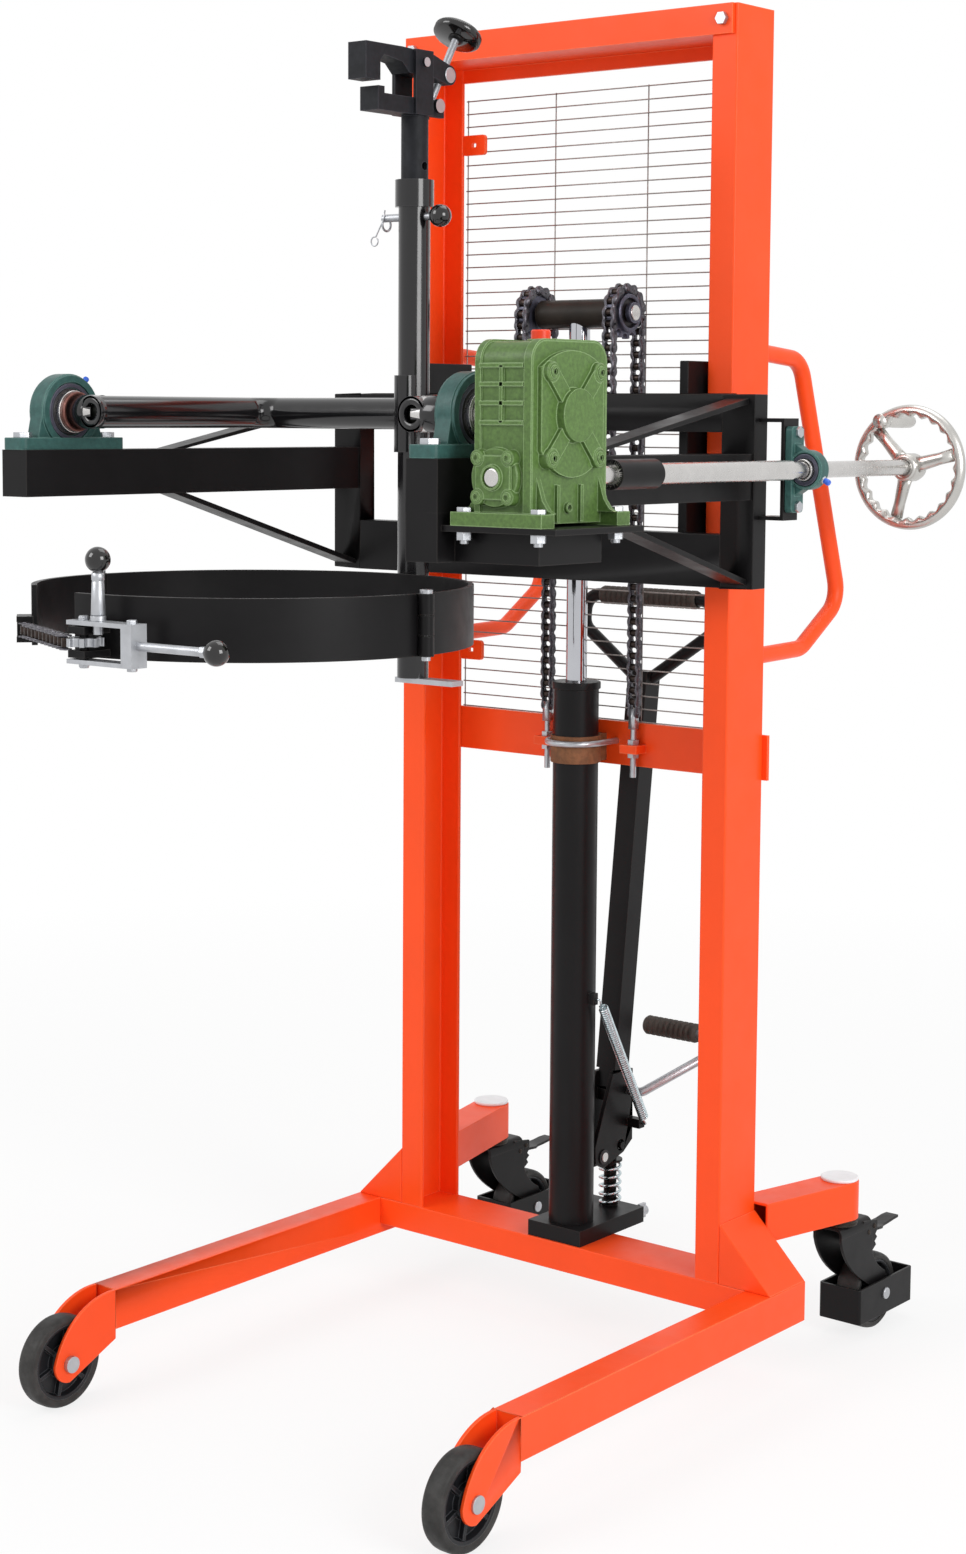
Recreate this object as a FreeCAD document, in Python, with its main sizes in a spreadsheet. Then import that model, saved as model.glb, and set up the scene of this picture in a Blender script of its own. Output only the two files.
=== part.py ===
import FreeCAD, Part
import math
import os
import re
from FreeCAD import Placement, Rotation, Vector

# Drum tipper: straddle stacker with a hand-pumped lift, a chain carriage and a worm-driven drum clamp.
# Millimetres. Origin on the floor between the masts, +Z up, the drum is held on the -Y side.

doc = FreeCAD.newDocument("drum_tipper")
sheet = doc.addObject("Spreadsheet::Sheet", "sizes")

SIZES = [
    # base
    ("leg_x", 410), ("leg_w", 50), ("leg_low", 101), ("leg_top", 166), ("leg_front", -690),
    ("leg_wall", 5), ("bar_low", 118), ("bar_wall", 5), ("mast_x", 336), ("mast_lip", 289),
    ("mast_half", 52), ("mast_wall", 7), ("mast_top", 2186), ("gusset_top", 265), ("gusset_wall", 9),
    ("fin_t", 6), ("fin_r", 30), ("axle_y", -787.6), ("axle_z", 72.5), ("axle_r", 8), ("axle_head", 13),
    ("wheel_w", 34), ("wheel_hub", 20), ("wheel_dish", 9), ("rear_arm_w", 65), ("rear_arm_low", 213),
    ("rear_arm_len", 215), ("rear_arm_turn", 13.7), ("rear_arm_wall", 5), ("swivel_x", 376),
    ("swivel_y", 250.6), ("stem_r", 11), ("stem_len", 45), ("cap_t", 6), ("trail", 92), ("caster_r", 65),
    ("caster_w", 44), ("cheek_t", 5), ("caster_plate_t", 8), ("caster_race", 9), ("guard_len", 176),
    ("guard_low", 30), ("guard_top", 90), ("guard_wall", 5), ("guard_w", 80), ("guard_back", 6),
    ("fork_front", 36), ("fork_back", 62), ("fork_half", 26), ("fork_neck", 34), ("fork_low", 8),
    ("pedal_len", 108), ("pedal_w", 40), ("pedal_t", 8), ("pedal_pin", 6), ("pedal_y", 72),
    ("pedal_drop", 10), ("pedal_ear", 10), ("pedal_root", 32), ("pedal_sink", 26), ("pedal_z", 168),
    # mast fittings
    ("strip_t", 6), ("strip_h", 46), ("strip_low", "=mast_top - strip_h"), ("tie_h", 68),
    ("tie_low", "=mast_top - tie_h"), ("strip_in", 6), ("strip_x", "=mast_x - strip_in"),
    ("mid_over", 9), ("mid_x", "=mast_x + mid_over"), ("mid_low", 972), ("mid_h", 73),
    ("mid_top", "=mid_low + mid_h"), ("mid_t", 6), ("lug_w", 34), ("lug_rise", 24),
    ("lug_z", "=mid_low + lug_rise"), ("lug_t", 14), ("lug_reach", 28), ("handle_x", 312),
    ("handle_r", 13.5), ("handle_wall", 2.5), ("handle_bend", 45), ("handle_low", 1170),
    ("handle_top", 1650), ("handle_out", 315), ("handle_lift", 7), ("handle_up", 133), ("handle_dip", 4),
    ("handle_knee", 78), ("handle_dn", 117), ("net_x", 286), ("net_drop", 96),
    ("net_top", "=mast_top - net_drop"), ("net_wire", 4), ("net_pitch", 21.3), ("net_cols", 3),
    ("clip_w", 49), ("clip_h", 34), ("clip_t", 6), ("clip_rise", 101),
    ("clip_low", "=mid_top + clip_rise"), ("clip_drop", 77), ("clip_high", "=net_top - clip_drop"),
    ("clip_hole", 5),
    # lift
    ("pump_plate_x", 55), ("pump_plate_front", -48), ("pump_plate_rear", 136), ("pump_plate_t", 27),
    ("cyl_r", 38), ("cyl_bore", 31), ("cyl_top", 1101), ("cyl_floor", 12), ("gland_t", 12),
    ("gland_r", 41), ("gland_plug", 16), ("lift_rod_r", 17.5), ("piston_low", 830), ("piston_t", 36),
    ("head_z", 1720), ("head_r", 23.5), ("head_half", 76), ("head_pin", 12), ("head_end", 112),
    ("head_cap", 17), ("head_cap_t", 8), ("chain_x", 90), ("chain_pitch", 19.05), ("chain_teeth", 13),
    ("chain_roller", 5.9), ("tooth_gap", 0.6), ("link_in", 6.4), ("link_t", 3.8), ("link_h", 17),
    ("sprocket_w", 11.4), ("sprocket_rise", 2.2), ("tooth_flare", 1.4), ("anchor_r", 5),
    ("anchor_drop", 17), ("anchor_low", "=mid_low - anchor_drop"), ("anchor_rise", 70),
    ("anchor_top", "=mid_low + anchor_rise"), ("anchor_nut", 9), ("anchor_nut_t", 8), ("ubolt_r", 5),
    ("ubolt_rise", 40), ("ubolt_z", "=mid_low + ubolt_rise"), ("pad_t", 4), ("pad_h", 34),
    # pump
    ("rocker_y", 62), ("rocker_z", 291), ("rocker_pin", 8), ("ear_w", 24), ("ear_r", 17),
    ("plunger_y", 112), ("plunger_r", 11), ("plunger_pin", 6), ("plunger_pin_z", 301),
    ("plunger_eye", 12), ("barrel_r", 14), ("barrel_h", 10), ("seat_z", 270), ("seat_t", 4),
    ("seat_r", 21), ("coil_r", 17.5), ("coil_wire", 2.5), ("coil_turns", 5), ("cheek_in", 14),
    ("cheek_plate", 8), ("cheek_front", 24), ("cheek_toe", 22), ("cheek_edge", 20), ("cheek_back", 34),
    ("cheek_rise", 30), ("cheek_sag", 14), ("cheek_nose", 8), ("pin_end", 4), ("slot_play", 4),
    ("lever_z", 400), ("lever_y", 111.3), ("lever_lean", 6.7), ("lever_w", 40), ("lever_wall", 3),
    ("lever_len", 720), ("loop_rise", 128), ("loop_top", "=lever_len + loop_rise"), ("loop_half", 135),
    ("loop_r", 11), ("loop_bend", 28), ("loop_drop", 55), ("loop_set", 4), ("notch_over", 4),
    ("grip_r", 16), ("grip_half", 100), ("foot_rod", 8), ("foot_y", 240), ("foot_z", 484),
    ("foot_x", 38), ("foot_half", 54), ("foot_r", 17), ("foot_bend", 14), ("foot_root_y", 20),
    ("foot_root_z", 6), ("foot_out", 28), ("foot_elbow", 26), ("foot_lean", 12), ("foot_drop", 34),
    ("foot_plug", 4), ("pull_r", 7), ("pull_wire", 1.9), ("pull_pitch", 6), ("pull_x", 48),
    ("pull_top", 580), ("tab_half", 10), ("tab_w", 6), ("tab_sink", 4), ("hook_y", 26), ("hook_z", 62),
    ("hook_half", 8), ("valve_r", 9), ("valve_len", 46), ("valve_neck", 4), ("valve_wing", 3),
    # carriage
    ("tilt_y", -770), ("tilt_z", 1555), ("beam_front", -128), ("beam_d", 36),
    ("beam_back", "=beam_front + beam_d"), ("beam_wall", 6), ("beam_rise", 33),
    ("beam_up_top", "=tilt_z + beam_rise"), ("beam_dn_low", 1292), ("beam_up_h", 58),
    ("beam_up_low", "=beam_up_top - beam_up_h"), ("beam_dn_h", 82),
    ("beam_dn_top", "=beam_dn_low + beam_dn_h"), ("post_in", 369), ("end_post_w", 59),
    ("post_out", "=post_in + end_post_w"), ("rail_in", 264), ("rail_t", 16),
    ("rail_out", "=rail_in + rail_t"), ("roller_up", 1585), ("roller_span", 240),
    ("roller_dn", "=roller_up - roller_span"), ("rail_under", 45),
    ("rail_low", "=roller_dn - rail_under"), ("rail_over", 55), ("rail_top", "=roller_up + rail_over"),
    ("rail_back", 44), ("roller_play", 0.3), ("roller_in", 291), ("roller_w", 35),
    ("roller_out", "=roller_in + roller_w"), ("roller_pin", 15), ("roller_boss", 21), ("arm_x", 398),
    ("arm_w", 54), ("arm_h", 70), ("block_rise", 57), ("arm_top", "=tilt_z - block_rise"),
    ("arm_low", "=arm_top - arm_h"), ("arm_front", -870), ("arm_wall", 5), ("plat_top", 1412),
    ("plat_h", 49), ("plat_low", "=plat_top - plat_h"), ("plat_out", 612), ("plat_front", -862),
    ("plat_back", -672), ("plat_wall", 8), ("plat_set", 28), ("plat_side", 48), ("brace_t", 9),
    ("brace_w", 38), ("brace_y", -560), ("chain_lug_h", 18),
    ("chain_lug_z", "=beam_dn_top + chain_lug_h"),
    # tilt drive
    ("stub_r", 25), ("block_half", 103), ("block_foot", 18), ("block_w", 48), ("block_r", 57),
    ("block_ring", 34), ("bearing_r", 44), ("block_bolt", 83), ("block_bolt_r", 8), ("worm_x", 505),
    ("worm_z", 1475), ("worm_r", 22), ("worm_shaft", 12.5), ("wheel_worm", 57), ("wheel_worm_w", 34),
    ("case_in", 468), ("case_w", 93), ("case_out", "=case_in + case_w"), ("case_front", -845),
    ("case_back", -690), ("case_h", 237), ("case_top", "=plat_top + case_h"), ("case_wall", 10),
    ("case_round", 26), ("case_rib", 4), ("rib_first", 44), ("rib_pitch", 28), ("rib_t", 7),
    ("case_boss", 16), ("case_hub", 8), ("foot_t", 18), ("case_foot", 28), ("foot_bolt_r", 6),
    ("foot_edge_x", 14), ("foot_edge_y", 12), ("cover_t", 8), ("cover_boss", 20), ("cover_boss_r", 40),
    ("cover_rib", 7), ("cover_rib_w", 10), ("cover_in", 6), ("cap_sq", 72), ("cap_d", 12),
    ("cap_rise", 6), ("plug_r", 13), ("plug_h", 16), ("couple_front", -600), ("couple_back", -501),
    ("couple_r", 21), ("shaft_r", 15), ("shaft_step", -150), ("third_y", -97), ("third_base", 474),
    ("third_h", 130), ("third_t", 12), ("third_r", 30), ("third_w", 34), ("third_edge", 9),
    ("hat_w", 40), ("hat_t", 6), ("hat_edge", 12), ("wheel_y", 205), ("hand_r", 89), ("hand_rim", 11),
    ("hand_hub", 22), ("hand_hub_l", 40), ("spoke_r", 8), ("spoke_turn", 225), ("crank_turn", 235),
    ("stud_end", 4), ("crank_r", 11), ("crank_len", 80), ("crank_stud", 6),
    # tilt frame
    ("pipe_r", 24.15), ("pipe_bore", 20.7), ("yoke_x", 314), ("yoke_front", -794), ("yoke_back", -420),
    ("yoke_bend", 42), ("stub_over", 6), ("stiff_half", 58), ("post_low", 1151), ("post_top", 1866),
    ("collar_h", 41), ("collar_top", "=post_top + collar_h"), ("collar_r", 29.5), ("slip_r", 20.6),
    ("slip_low", 1620), ("slip_top", 2002), ("slip_bore", 15), ("hole_pitch", 37.5), ("lock_z", 1852),
    ("lock_r", 6), ("lock_left", -62), ("lock_right", 34), ("ball_r", 17), ("foot_bar_l", -25),
    ("foot_bar_r", 90), ("foot_bar_w", 26), ("foot_bar_t", 8), ("ring_low", 1228), ("ring_h", 85),
    ("ring_in", 306.5), ("ring_t", 8), ("ring_pad", 60), ("knuckle_r", 11), ("knuckle_pin", 6),
    ("knuckle_sink", 3), ("left_span", 52), ("right_span", 96), ("arc_gap", 0.3), ("latch_x", 20),
    ("latch_gap", 30), ("latch_z", 1252), ("latch_pin", 6), ("latch_teeth", 8), ("lug_sink", 3),
    ("lug_out", 20), ("lug_len", 44), ("lug_back", 10), ("lug_wall", 8), ("lug_step", 4),
    ("hook_out", 12.5), ("hook_at", 38), ("latch_plate", 6), ("latch_w", 28), ("latch_len", 91),
    ("latch_tail", 19), ("latch_span", 58), ("latch_block", 20), ("block_lap", 6), ("latch_over", 6),
    ("rod_r", 6), ("rod_end", 266), ("pawl_x", 48), ("pawl_r", 7), ("pawl_top", 1362), ("ear_t", 10),
    ("ear_in", 11), ("ear_half", 16), ("ear_nose", 14),
    # rim clamp
    ("jaw_half", 18), ("jaw_pin", 7), ("jaw_pin_y", -425), ("jaw_pin_z", 2080), ("cheek_w", 6),
    ("cheek_half", 20), ("cheek_over", 18), ("jaw_pin_over", 5), ("jaw_boss", 6), ("low_tip", -524),
    ("low_low", 2002), ("low_h", 35), ("low_top", "=low_low + low_h"), ("low_lip", 10), ("up_tip", -551),
    ("up_pad", 32), ("up_neck", 44), ("up_arch", 16), ("up_knee", 24), ("up_low", 2045), ("up_h", 54),
    ("up_top", "=up_low + up_h"), ("nut_y", -359), ("nut_z", 2068), ("nut_r", 15), ("nut_low_y", -388),
    ("nut_low_z", 2019), ("screw_r", 6), ("screw_top", 84), ("screw_tail", 3), ("knob_r", 38),
    ("knob_t", 14),
    # fits
    ("fit", 0.05), ("turn", 0.08), ("gap", 0.3), ("play", 1),
]

for row, (alias, value) in enumerate(SIZES, start=1):
    sheet.set(f"A{row}", alias)
    sheet.set(f"B{row}", str(value))
    sheet.setAlias(f"B{row}", alias)
doc.recompute()

FUNCTIONS = {"sin", "cos", "tan", "sqrt", "deg"}
UP, RIGHT, BACK = Vector(0, 0, 1), Vector(1, 0, 0), Vector(0, 1, 0)
ALONG = {"x": Rotation(UP, RIGHT), "y": Rotation(UP, BACK), "z": Rotation()}


def size(name):
    return float(sheet.get(name))


def bound(text):
    """The expression with every size name pointed at the sheet."""
    def point(match):
        word = match.group(0)
        return word if word in FUNCTIONS else "sizes." + word
    return re.sub(r"[a-z][a-z_]*", point, str(text))


def tie(part, **values):
    for path, text in values.items():
        part.setExpression(path.replace("__", "."), bound(text))
    return part


def place(part, x, y, z):
    return tie(part, Placement__Base__x=x, Placement__Base__y=y, Placement__Base__z=z)


def box(name, x, y, z):
    """Block between two named limits on each axis."""
    part = doc.addObject("Part::Box", name)
    tie(part, Length=f"({x[1]}) - ({x[0]})", Width=f"({y[1]}) - ({y[0]})", Height=f"({z[1]}) - ({z[0]})")
    return place(part, x[0], y[0], z[0])


def rod(name, axis, radius, ends, centre):
    """Round bar along an axis; centre gives the other two coordinates in order."""
    part = doc.addObject("Part::Cylinder", name)
    part.Placement = Placement(Vector(), ALONG[axis])
    tie(part, Radius=radius, Height=f"({ends[1]}) - ({ends[0]})")
    where = list(centre)
    where.insert("xyz".index(axis), ends[0])
    return place(part, *where)


def hexagon(name, axis, flats, ends, centre):
    """Bolt head or nut."""
    part = doc.addObject("Part::Prism", name)
    part.Polygon = 6
    part.Placement = Placement(Vector(), ALONG[axis])
    tie(part, Circumradius=f"({flats}) / 1.732", Height=f"({ends[1]}) - ({ends[0]})")
    where = list(centre)
    where.insert("xyz".index(axis), ends[0])
    return place(part, *where)


def fuse(name, *parts):
    joined = doc.addObject("Part::MultiFuse", name)
    joined.Shapes = list(parts)
    joined.Refine = True
    return joined


def cut(name, base, *tools):
    tool = tools[0] if len(tools) == 1 else fuse(name + "_tools", *tools)
    rest = doc.addObject("Part::Cut", name)
    rest.Base = base
    rest.Tool = tool
    rest.Refine = True
    return rest


def mirror(name, part):
    twin = doc.addObject("Part::Mirroring", name)
    twin.Source = part
    twin.Normal = RIGHT
    return twin


def group(name, *parts):
    both = doc.addObject("Part::Compound", name)
    both.Links = list(parts)
    return both


def pair(name, part):
    return group(name, part, mirror(name + "_twin", part))


def made(name, shape):
    part = doc.addObject("Part::Feature", name)
    part.Shape = shape
    return part


def outline(points):
    return Part.Face(Part.makePolygon(points + points[:1]))


def plate_x(name, x, points):
    """Flat plate across X from an outline in Y and Z."""
    face = outline([Vector(x[0], y, z) for y, z in points])
    return made(name, face.extrude(Vector(x[1] - x[0], 0, 0)))


def bent(points, bend):
    """Wire through the points with every inner corner rounded."""
    edges = []
    start = points[0]
    for before, corner, after in zip(points, points[1:], points[2:]):
        back = (before - corner).normalize()
        ahead = (after - corner).normalize()
        half = back.getAngle(ahead) / 2
        reach = bend / math.tan(half)
        middle = corner + (back + ahead).normalize() * (bend / math.sin(half) - bend)
        first = corner + back * reach
        last = corner + ahead * reach
        edges.append(Part.makeLine(start, first))
        edges.append(Part.Arc(first, middle, last).toShape())
        start = last
    edges.append(Part.makeLine(start, points[-1]))
    return Part.Wire(edges)


def tube(wire, radius):
    """Round bar swept along a wire."""
    edge = wire.OrderedEdges[0]
    ring = Part.makeCircle(radius, edge.valueAt(edge.FirstParameter), edge.tangentAt(edge.FirstParameter))
    return wire.makePipeShell([Part.Wire([ring])], True, False)


def helix_tube(radius, wire, pitch, turns, slope=Rotation(), start=Vector()):
    """One unbroken coil along +Z, swept on quarter-turn arcs."""
    quarters = int(turns * 4)
    dots = []
    for step in range(2 * quarters + 1):
        turn = step * math.pi / 4
        rise = pitch * step / 8
        dots.append(Vector(radius * math.cos(turn), radius * math.sin(turn), rise))
    arcs = [Part.Arc(*dots[i:i + 3]).toShape() for i in range(0, 2 * quarters, 2)]
    coil = tube(Part.Wire(arcs), wire)
    coil.Placement = Placement(start, slope)
    least = min(here.distanceToPoint(there)
                for number, here in enumerate(dots) for there in dots[number + 6:])
    print("coil gap", round(least - 2 * wire, 2))
    return coil


NODES = []


def node(name, part):
    part.Label = name
    NODES.append(part)
    return part


# base

LEG_IN, LEG_OUT = "leg_x - leg_w / 2", "leg_x + leg_w / 2"
leg = cut(
    "leg",
    box("leg_bar", (LEG_IN, LEG_OUT), ("leg_front", "mast_half"), ("leg_low", "leg_top")),
    box("leg_hollow", (LEG_IN + " + leg_wall", LEG_OUT + " - leg_wall"),
        ("leg_front + leg_wall", "mast_half"),
        ("leg_low + leg_wall", "leg_top - leg_wall")),
)

crossbar = cut(
    "crossbar",
    box("bar_block", (f"-({LEG_IN})", LEG_IN), ("-mast_half", "mast_half"), ("bar_low", "leg_top")),
    box("bar_hollow", (f"-({LEG_IN})", LEG_IN), ("bar_wall - mast_half", "mast_half - bar_wall"),
        ("bar_low + bar_wall", "leg_top - bar_wall")),
)

BOLT_X, BOLT_Z, BOLT_R = "(mast_lip + mast_x) / 2", "(strip_low + mast_top) / 2", "anchor_r"
FLANGE_X, MAST_Z = ("mast_lip", "mast_x"), ("leg_top", "mast_top")
FLANGE_FRONT, FLANGE_BACK = ("-mast_half", "mast_wall - mast_half"), ("mast_half - mast_wall", "mast_half")
mast = [
    cut("mast_front", box("front_flange", FLANGE_X, FLANGE_FRONT, MAST_Z),
        rod("mast_bolt_hole", "y", BOLT_R + " + fit", FLANGE_FRONT, (BOLT_X, BOLT_Z))),
    box("mast_back", FLANGE_X, FLANGE_BACK, MAST_Z),
    box("mast_web", ("mast_x - mast_wall", "mast_x"), (FLANGE_FRONT[1], FLANGE_BACK[0]), MAST_Z),
]


def wedge(name, reach, rise, ends):
    """Right-angled triangular block standing on the leg against the mast."""
    part = doc.addObject("Part::Wedge", name)
    part.Placement = Placement(Vector(), Rotation(RIGHT, 90))
    depth = f"({ends[1]}) - ({ends[0]})"
    tie(part, Xmin=0, Ymin=0, Zmin=0, X2min=0, X2max=0, Z2min=0)
    tie(part, Xmax=reach, Ymax=rise, Zmax=depth, Z2max=depth)
    return place(part, "mast_x", ends[1], "leg_top")


REACH, RISE = f"{LEG_OUT} - mast_x", "gusset_top - leg_top"
gusset = cut(
    "gusset",
    wedge("gusset_block", REACH, RISE, ("-mast_half", "mast_half")),
    wedge("gusset_hollow", REACH + " - gusset_wall * 1.4", RISE + " - gusset_wall * 1.4",
          ("gusset_wall - mast_half", "mast_half")),
)
gussets = pair("gussets", gusset)
node("base_crossbar", group("crossbar_weldment", crossbar, gussets))


def fin(name, x):
    """Curved cheek that carries a front axle."""
    top = Vector(x, size("leg_front"), size("leg_top"))
    heel = Vector(x, size("leg_front"), size("leg_low") - size("fin_r") / 2)
    hub = Vector(x, size("axle_y"), size("axle_z"))
    nose = hub - BACK * size("fin_r")
    chin = hub - UP * size("fin_r")
    bow = hub + Vector(0, -0.15, 0.99) * 0.5 * (top.z - hub.z) + (top - hub) * 0.27
    turn = hub - (BACK + UP) * size("fin_r") / math.sqrt(2)
    edges = [
        Part.Arc(top, bow, nose).toShape(),
        Part.Arc(nose, turn, chin).toShape(),
        Part.makeLine(chin, heel),
        Part.makeLine(heel, top),
    ]
    sheet_metal = Part.Face(Part.Wire(edges)).extrude(RIGHT * size("fin_t"))
    hole = Part.makeCylinder(size("axle_r") + size("fit"), size("fin_t"), hub, RIGHT)
    return made(name, sheet_metal.cut(hole))


fins = group("fins", fin("fin_in", size("leg_x") - size("leg_w") / 2),
             fin("fin_out", size("leg_x") + size("leg_w") / 2 - size("fin_t")))
node("legs", pair("legs", group("leg_weldment", leg, fins)))

axle = fuse(
    "axle",
    rod("axle_bar", "x", "axle_r", (LEG_IN, LEG_OUT), ("axle_y", "axle_z")),
    rod("axle_head_in", "x", "axle_head", (LEG_IN + " - axle_r", LEG_IN), ("axle_y", "axle_z")),
    rod("axle_head_out", "x", "axle_head", (LEG_OUT, LEG_OUT + " + axle_r / 2"), ("axle_y", "axle_z")),
)
front_axles = pair("front_axles", axle)


def road_wheel(name, x, y, z, radius, width, bore):
    """Solid tyre on a dished hub."""
    half = f"({width}) / 2"
    dishes = []
    for side, ends in (("l", (f"{x} - {half}", f"{x} - {half} + wheel_dish")),
                       ("r", (f"{x} + {half} - wheel_dish", f"{x} + {half}"))):
        dishes.append(cut(f"{name}_dish_{side}",
                          rod(f"{name}_rim_{side}", "x", f"{radius} * 0.7", ends, (y, z)),
                          rod(f"{name}_hub_{side}", "x", "wheel_hub", ends, (y, z))))
    return cut(name, rod(f"{name}_disc", "x", radius, (f"{x} - {half}", f"{x} + {half}"), (y, z)),
               rod(f"{name}_bore", "x", bore, (f"{x} - {half}", f"{x} + {half}"), (y, z)), *dishes)


for side, sign in (("left", "-"), ("right", "")):
    node(f"{side}_front_wheel", road_wheel(
        f"{side}_front_wheel", f"{sign}leg_x", "axle_y", "axle_z", "axle_z", "wheel_w", "axle_r + turn"))

# rear arms and casters

arm_bar = fuse(
    "rear_arm_bar",
    box("rear_arm_tube", ("-rear_arm_w / 2", "rear_arm_w / 2"), ("-rear_arm_len", 0), (0, "rear_arm_w")),
    rod("rear_arm_nose", "z", "rear_arm_w / 2", (0, "rear_arm_w"), (0, 0)),
)
arm_shell = cut(
    "rear_arm_shell", arm_bar,
    box("rear_arm_hollow", ("rear_arm_wall - rear_arm_w / 2", "rear_arm_w / 2 - rear_arm_wall"),
        ("-rear_arm_len", "-rear_arm_w / 2"), ("rear_arm_wall", "rear_arm_w - rear_arm_wall")),
    rod("rear_arm_bore", "z", "stem_r + turn", (0, "stem_len + play"), (0, 0)),
)
arm_shell.Placement = Placement(Vector(), Rotation(UP, 1))
tie(arm_shell, Placement__Rotation__Angle="-rear_arm_turn")
place(arm_shell, "swivel_x", "swivel_y", "rear_arm_low")
rear_arm = cut("rear_arm", arm_shell,
               box("rear_arm_trim", (0, "2 * swivel_x"), ("-mast_half", "mast_half"),
                   ("leg_low", "gusset_top * 2")))
ARM_TOP = "rear_arm_low + rear_arm_w"
arm_cap = rod("arm_cap", "z", "rear_arm_w / 2 - play", (ARM_TOP, ARM_TOP + " + cap_t"),
              ("swivel_x", "swivel_y"))
node("rear_arms", pair("rear_arms", group("rear_arm_set", rear_arm, arm_cap)))

AXLE_Y = "swivel_y + trail"
RACE_LOW = "rear_arm_low - caster_race"
for side, sign in (("left", "-"), ("right", "")):
    middle = f"{sign}swivel_x"
    inner = f"{middle} - caster_w / 2 - play"
    outer = f"{middle} + caster_w / 2 + play"
    plate_low = f"{RACE_LOW} - caster_plate_t"
    x_plate = size("swivel_x") * (-1 if sign else 1)
    half = size("caster_w") / 2 + size("play")
    y_axle = size("swivel_y") + size("trail")
    z_plate = size("rear_arm_low") - size("caster_race") - size("caster_plate_t")
    z_low = size("guard_low") + size("fork_low")
    side_view = [
        (size("swivel_y") - size("fork_front"), z_plate), (size("swivel_y") + size("fork_back"), z_plate),
        (y_axle + size("fork_half"), size("guard_top")), (y_axle + size("fork_half"), z_low),
        (y_axle - size("fork_half"), z_low), (y_axle - size("fork_neck"), size("guard_top")),
    ]
    cheeks = [plate_x(f"{side}_cheek_{n}", x, side_view) for n, x in (
        ("a", (x_plate - half - size("cheek_t"), x_plate - half)),
        ("b", (x_plate + half, x_plate + half + size("cheek_t"))))]
    fork = fuse(
        f"{side}_fork_weld", *cheeks,
        box(f"{side}_fork_top", (inner + " - cheek_t", outer + " + cheek_t"),
            ("swivel_y - fork_front", "swivel_y + fork_back"), (plate_low, RACE_LOW)),
        rod(f"{side}_race", "z", "rear_arm_w / 2 - play", (RACE_LOW, "rear_arm_low - gap"),
            (middle, "swivel_y")),
        rod(f"{side}_stem", "z", "stem_r", (RACE_LOW, "rear_arm_low + stem_len"), (middle, "swivel_y")),
        rod(f"{side}_caster_axle", "x", "axle_r", (inner + " - cheek_t * 2", outer + " + cheek_t * 2"),
            (AXLE_Y, "caster_r")),
        rod(f"{side}_pedal_pivot", "x", "pedal_pin", (inner + " - cheek_t", outer + " + cheek_t"),
            ("swivel_y + pedal_y", "pedal_z - pedal_drop")),
        box(f"{side}_pedal_ear_a", (inner + " - cheek_t", inner),
            ("swivel_y + pedal_y - pedal_root", "swivel_y + pedal_y + pedal_ear"),
            ("pedal_z - pedal_sink", RACE_LOW)),
        box(f"{side}_pedal_ear_b", (outer, outer + " + cheek_t"),
            ("swivel_y + pedal_y - pedal_root", "swivel_y + pedal_y + pedal_ear"),
            ("pedal_z - pedal_sink", RACE_LOW)),
    )
    guard_x = (f"{middle} - guard_w / 2", f"{middle} + guard_w / 2")
    guard_y = ("swivel_y + guard_back", "swivel_y + guard_back + guard_len")
    guard = cut(
        f"{side}_toe_guard",
        box(f"{side}_guard_block", guard_x, guard_y, ("guard_low", "guard_top")),
        box(f"{side}_guard_hollow", (inner + " - cheek_t", outer + " + cheek_t"),
            (f"{guard_y[0]} + guard_wall", f"{guard_y[1]} - guard_wall"), ("guard_low", "guard_top")),
        rod(f"{side}_guard_hole", "x", "axle_r + fit", guard_x, (AXLE_Y, "caster_r")),
    )
    node(f"{side}_caster_fork", group(f"{side}_fork_set", fork, guard))
    node(f"{side}_caster_wheel", road_wheel(
        f"{side}_caster_wheel", middle, AXLE_Y, "caster_r", "caster_r", "caster_w", "axle_r + turn"))
    pedal_y0 = "swivel_y + pedal_y"
    pedal = cut(
        f"{side}_brake_pedal",
        fuse(
            f"{side}_pedal_weld",
            box(f"{side}_pedal_tread", (f"{middle} - pedal_w / 2", f"{middle} + pedal_w / 2"),
                (pedal_y0, f"{pedal_y0} + pedal_len"), ("pedal_z", "pedal_z + pedal_t")),
            rod(f"{side}_pedal_eye", "x", "pedal_pin * 2",
                (f"{middle} - pedal_w / 2", f"{middle} + pedal_w / 2"),
                (pedal_y0, "pedal_z - pedal_drop")),
        ),
        rod(f"{side}_pedal_bore", "x", "pedal_pin + turn",
            (f"{middle} - pedal_w / 2", f"{middle} + pedal_w / 2"),
            (pedal_y0, "pedal_z - pedal_drop")),
    )
    node(f"{side}_brake_pedal", pedal)

# mast fittings

node("top_beam", cut(
    "top_beam",
    fuse(
        "top_beam_weld",
        box("top_strip", ("-strip_x", "strip_x"), ("-mast_half - strip_t", "-mast_half"),
            ("strip_low", "mast_top")),
        box("top_lid", ("-mast_lip", "mast_lip"), ("-mast_half", "mast_half"),
            ("mast_top - strip_t", "mast_top")),
        box("top_floor", ("-mast_lip", "mast_lip"), ("-mast_half", "mast_half"),
            ("strip_low", "strip_low + strip_t")),
        box("top_tie", ("-mast_lip", "mast_lip"), ("mast_half - mast_wall", "mast_half"),
            ("tie_low", "mast_top")),
    ),
    *[rod(f"strip_hole_{n}", "y", BOLT_R + " + fit", ("-mast_half - strip_t", "-mast_half"), (x, BOLT_Z))
      for n, x in (("a", BOLT_X), ("b", f"-{BOLT_X}"))],
))

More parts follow.
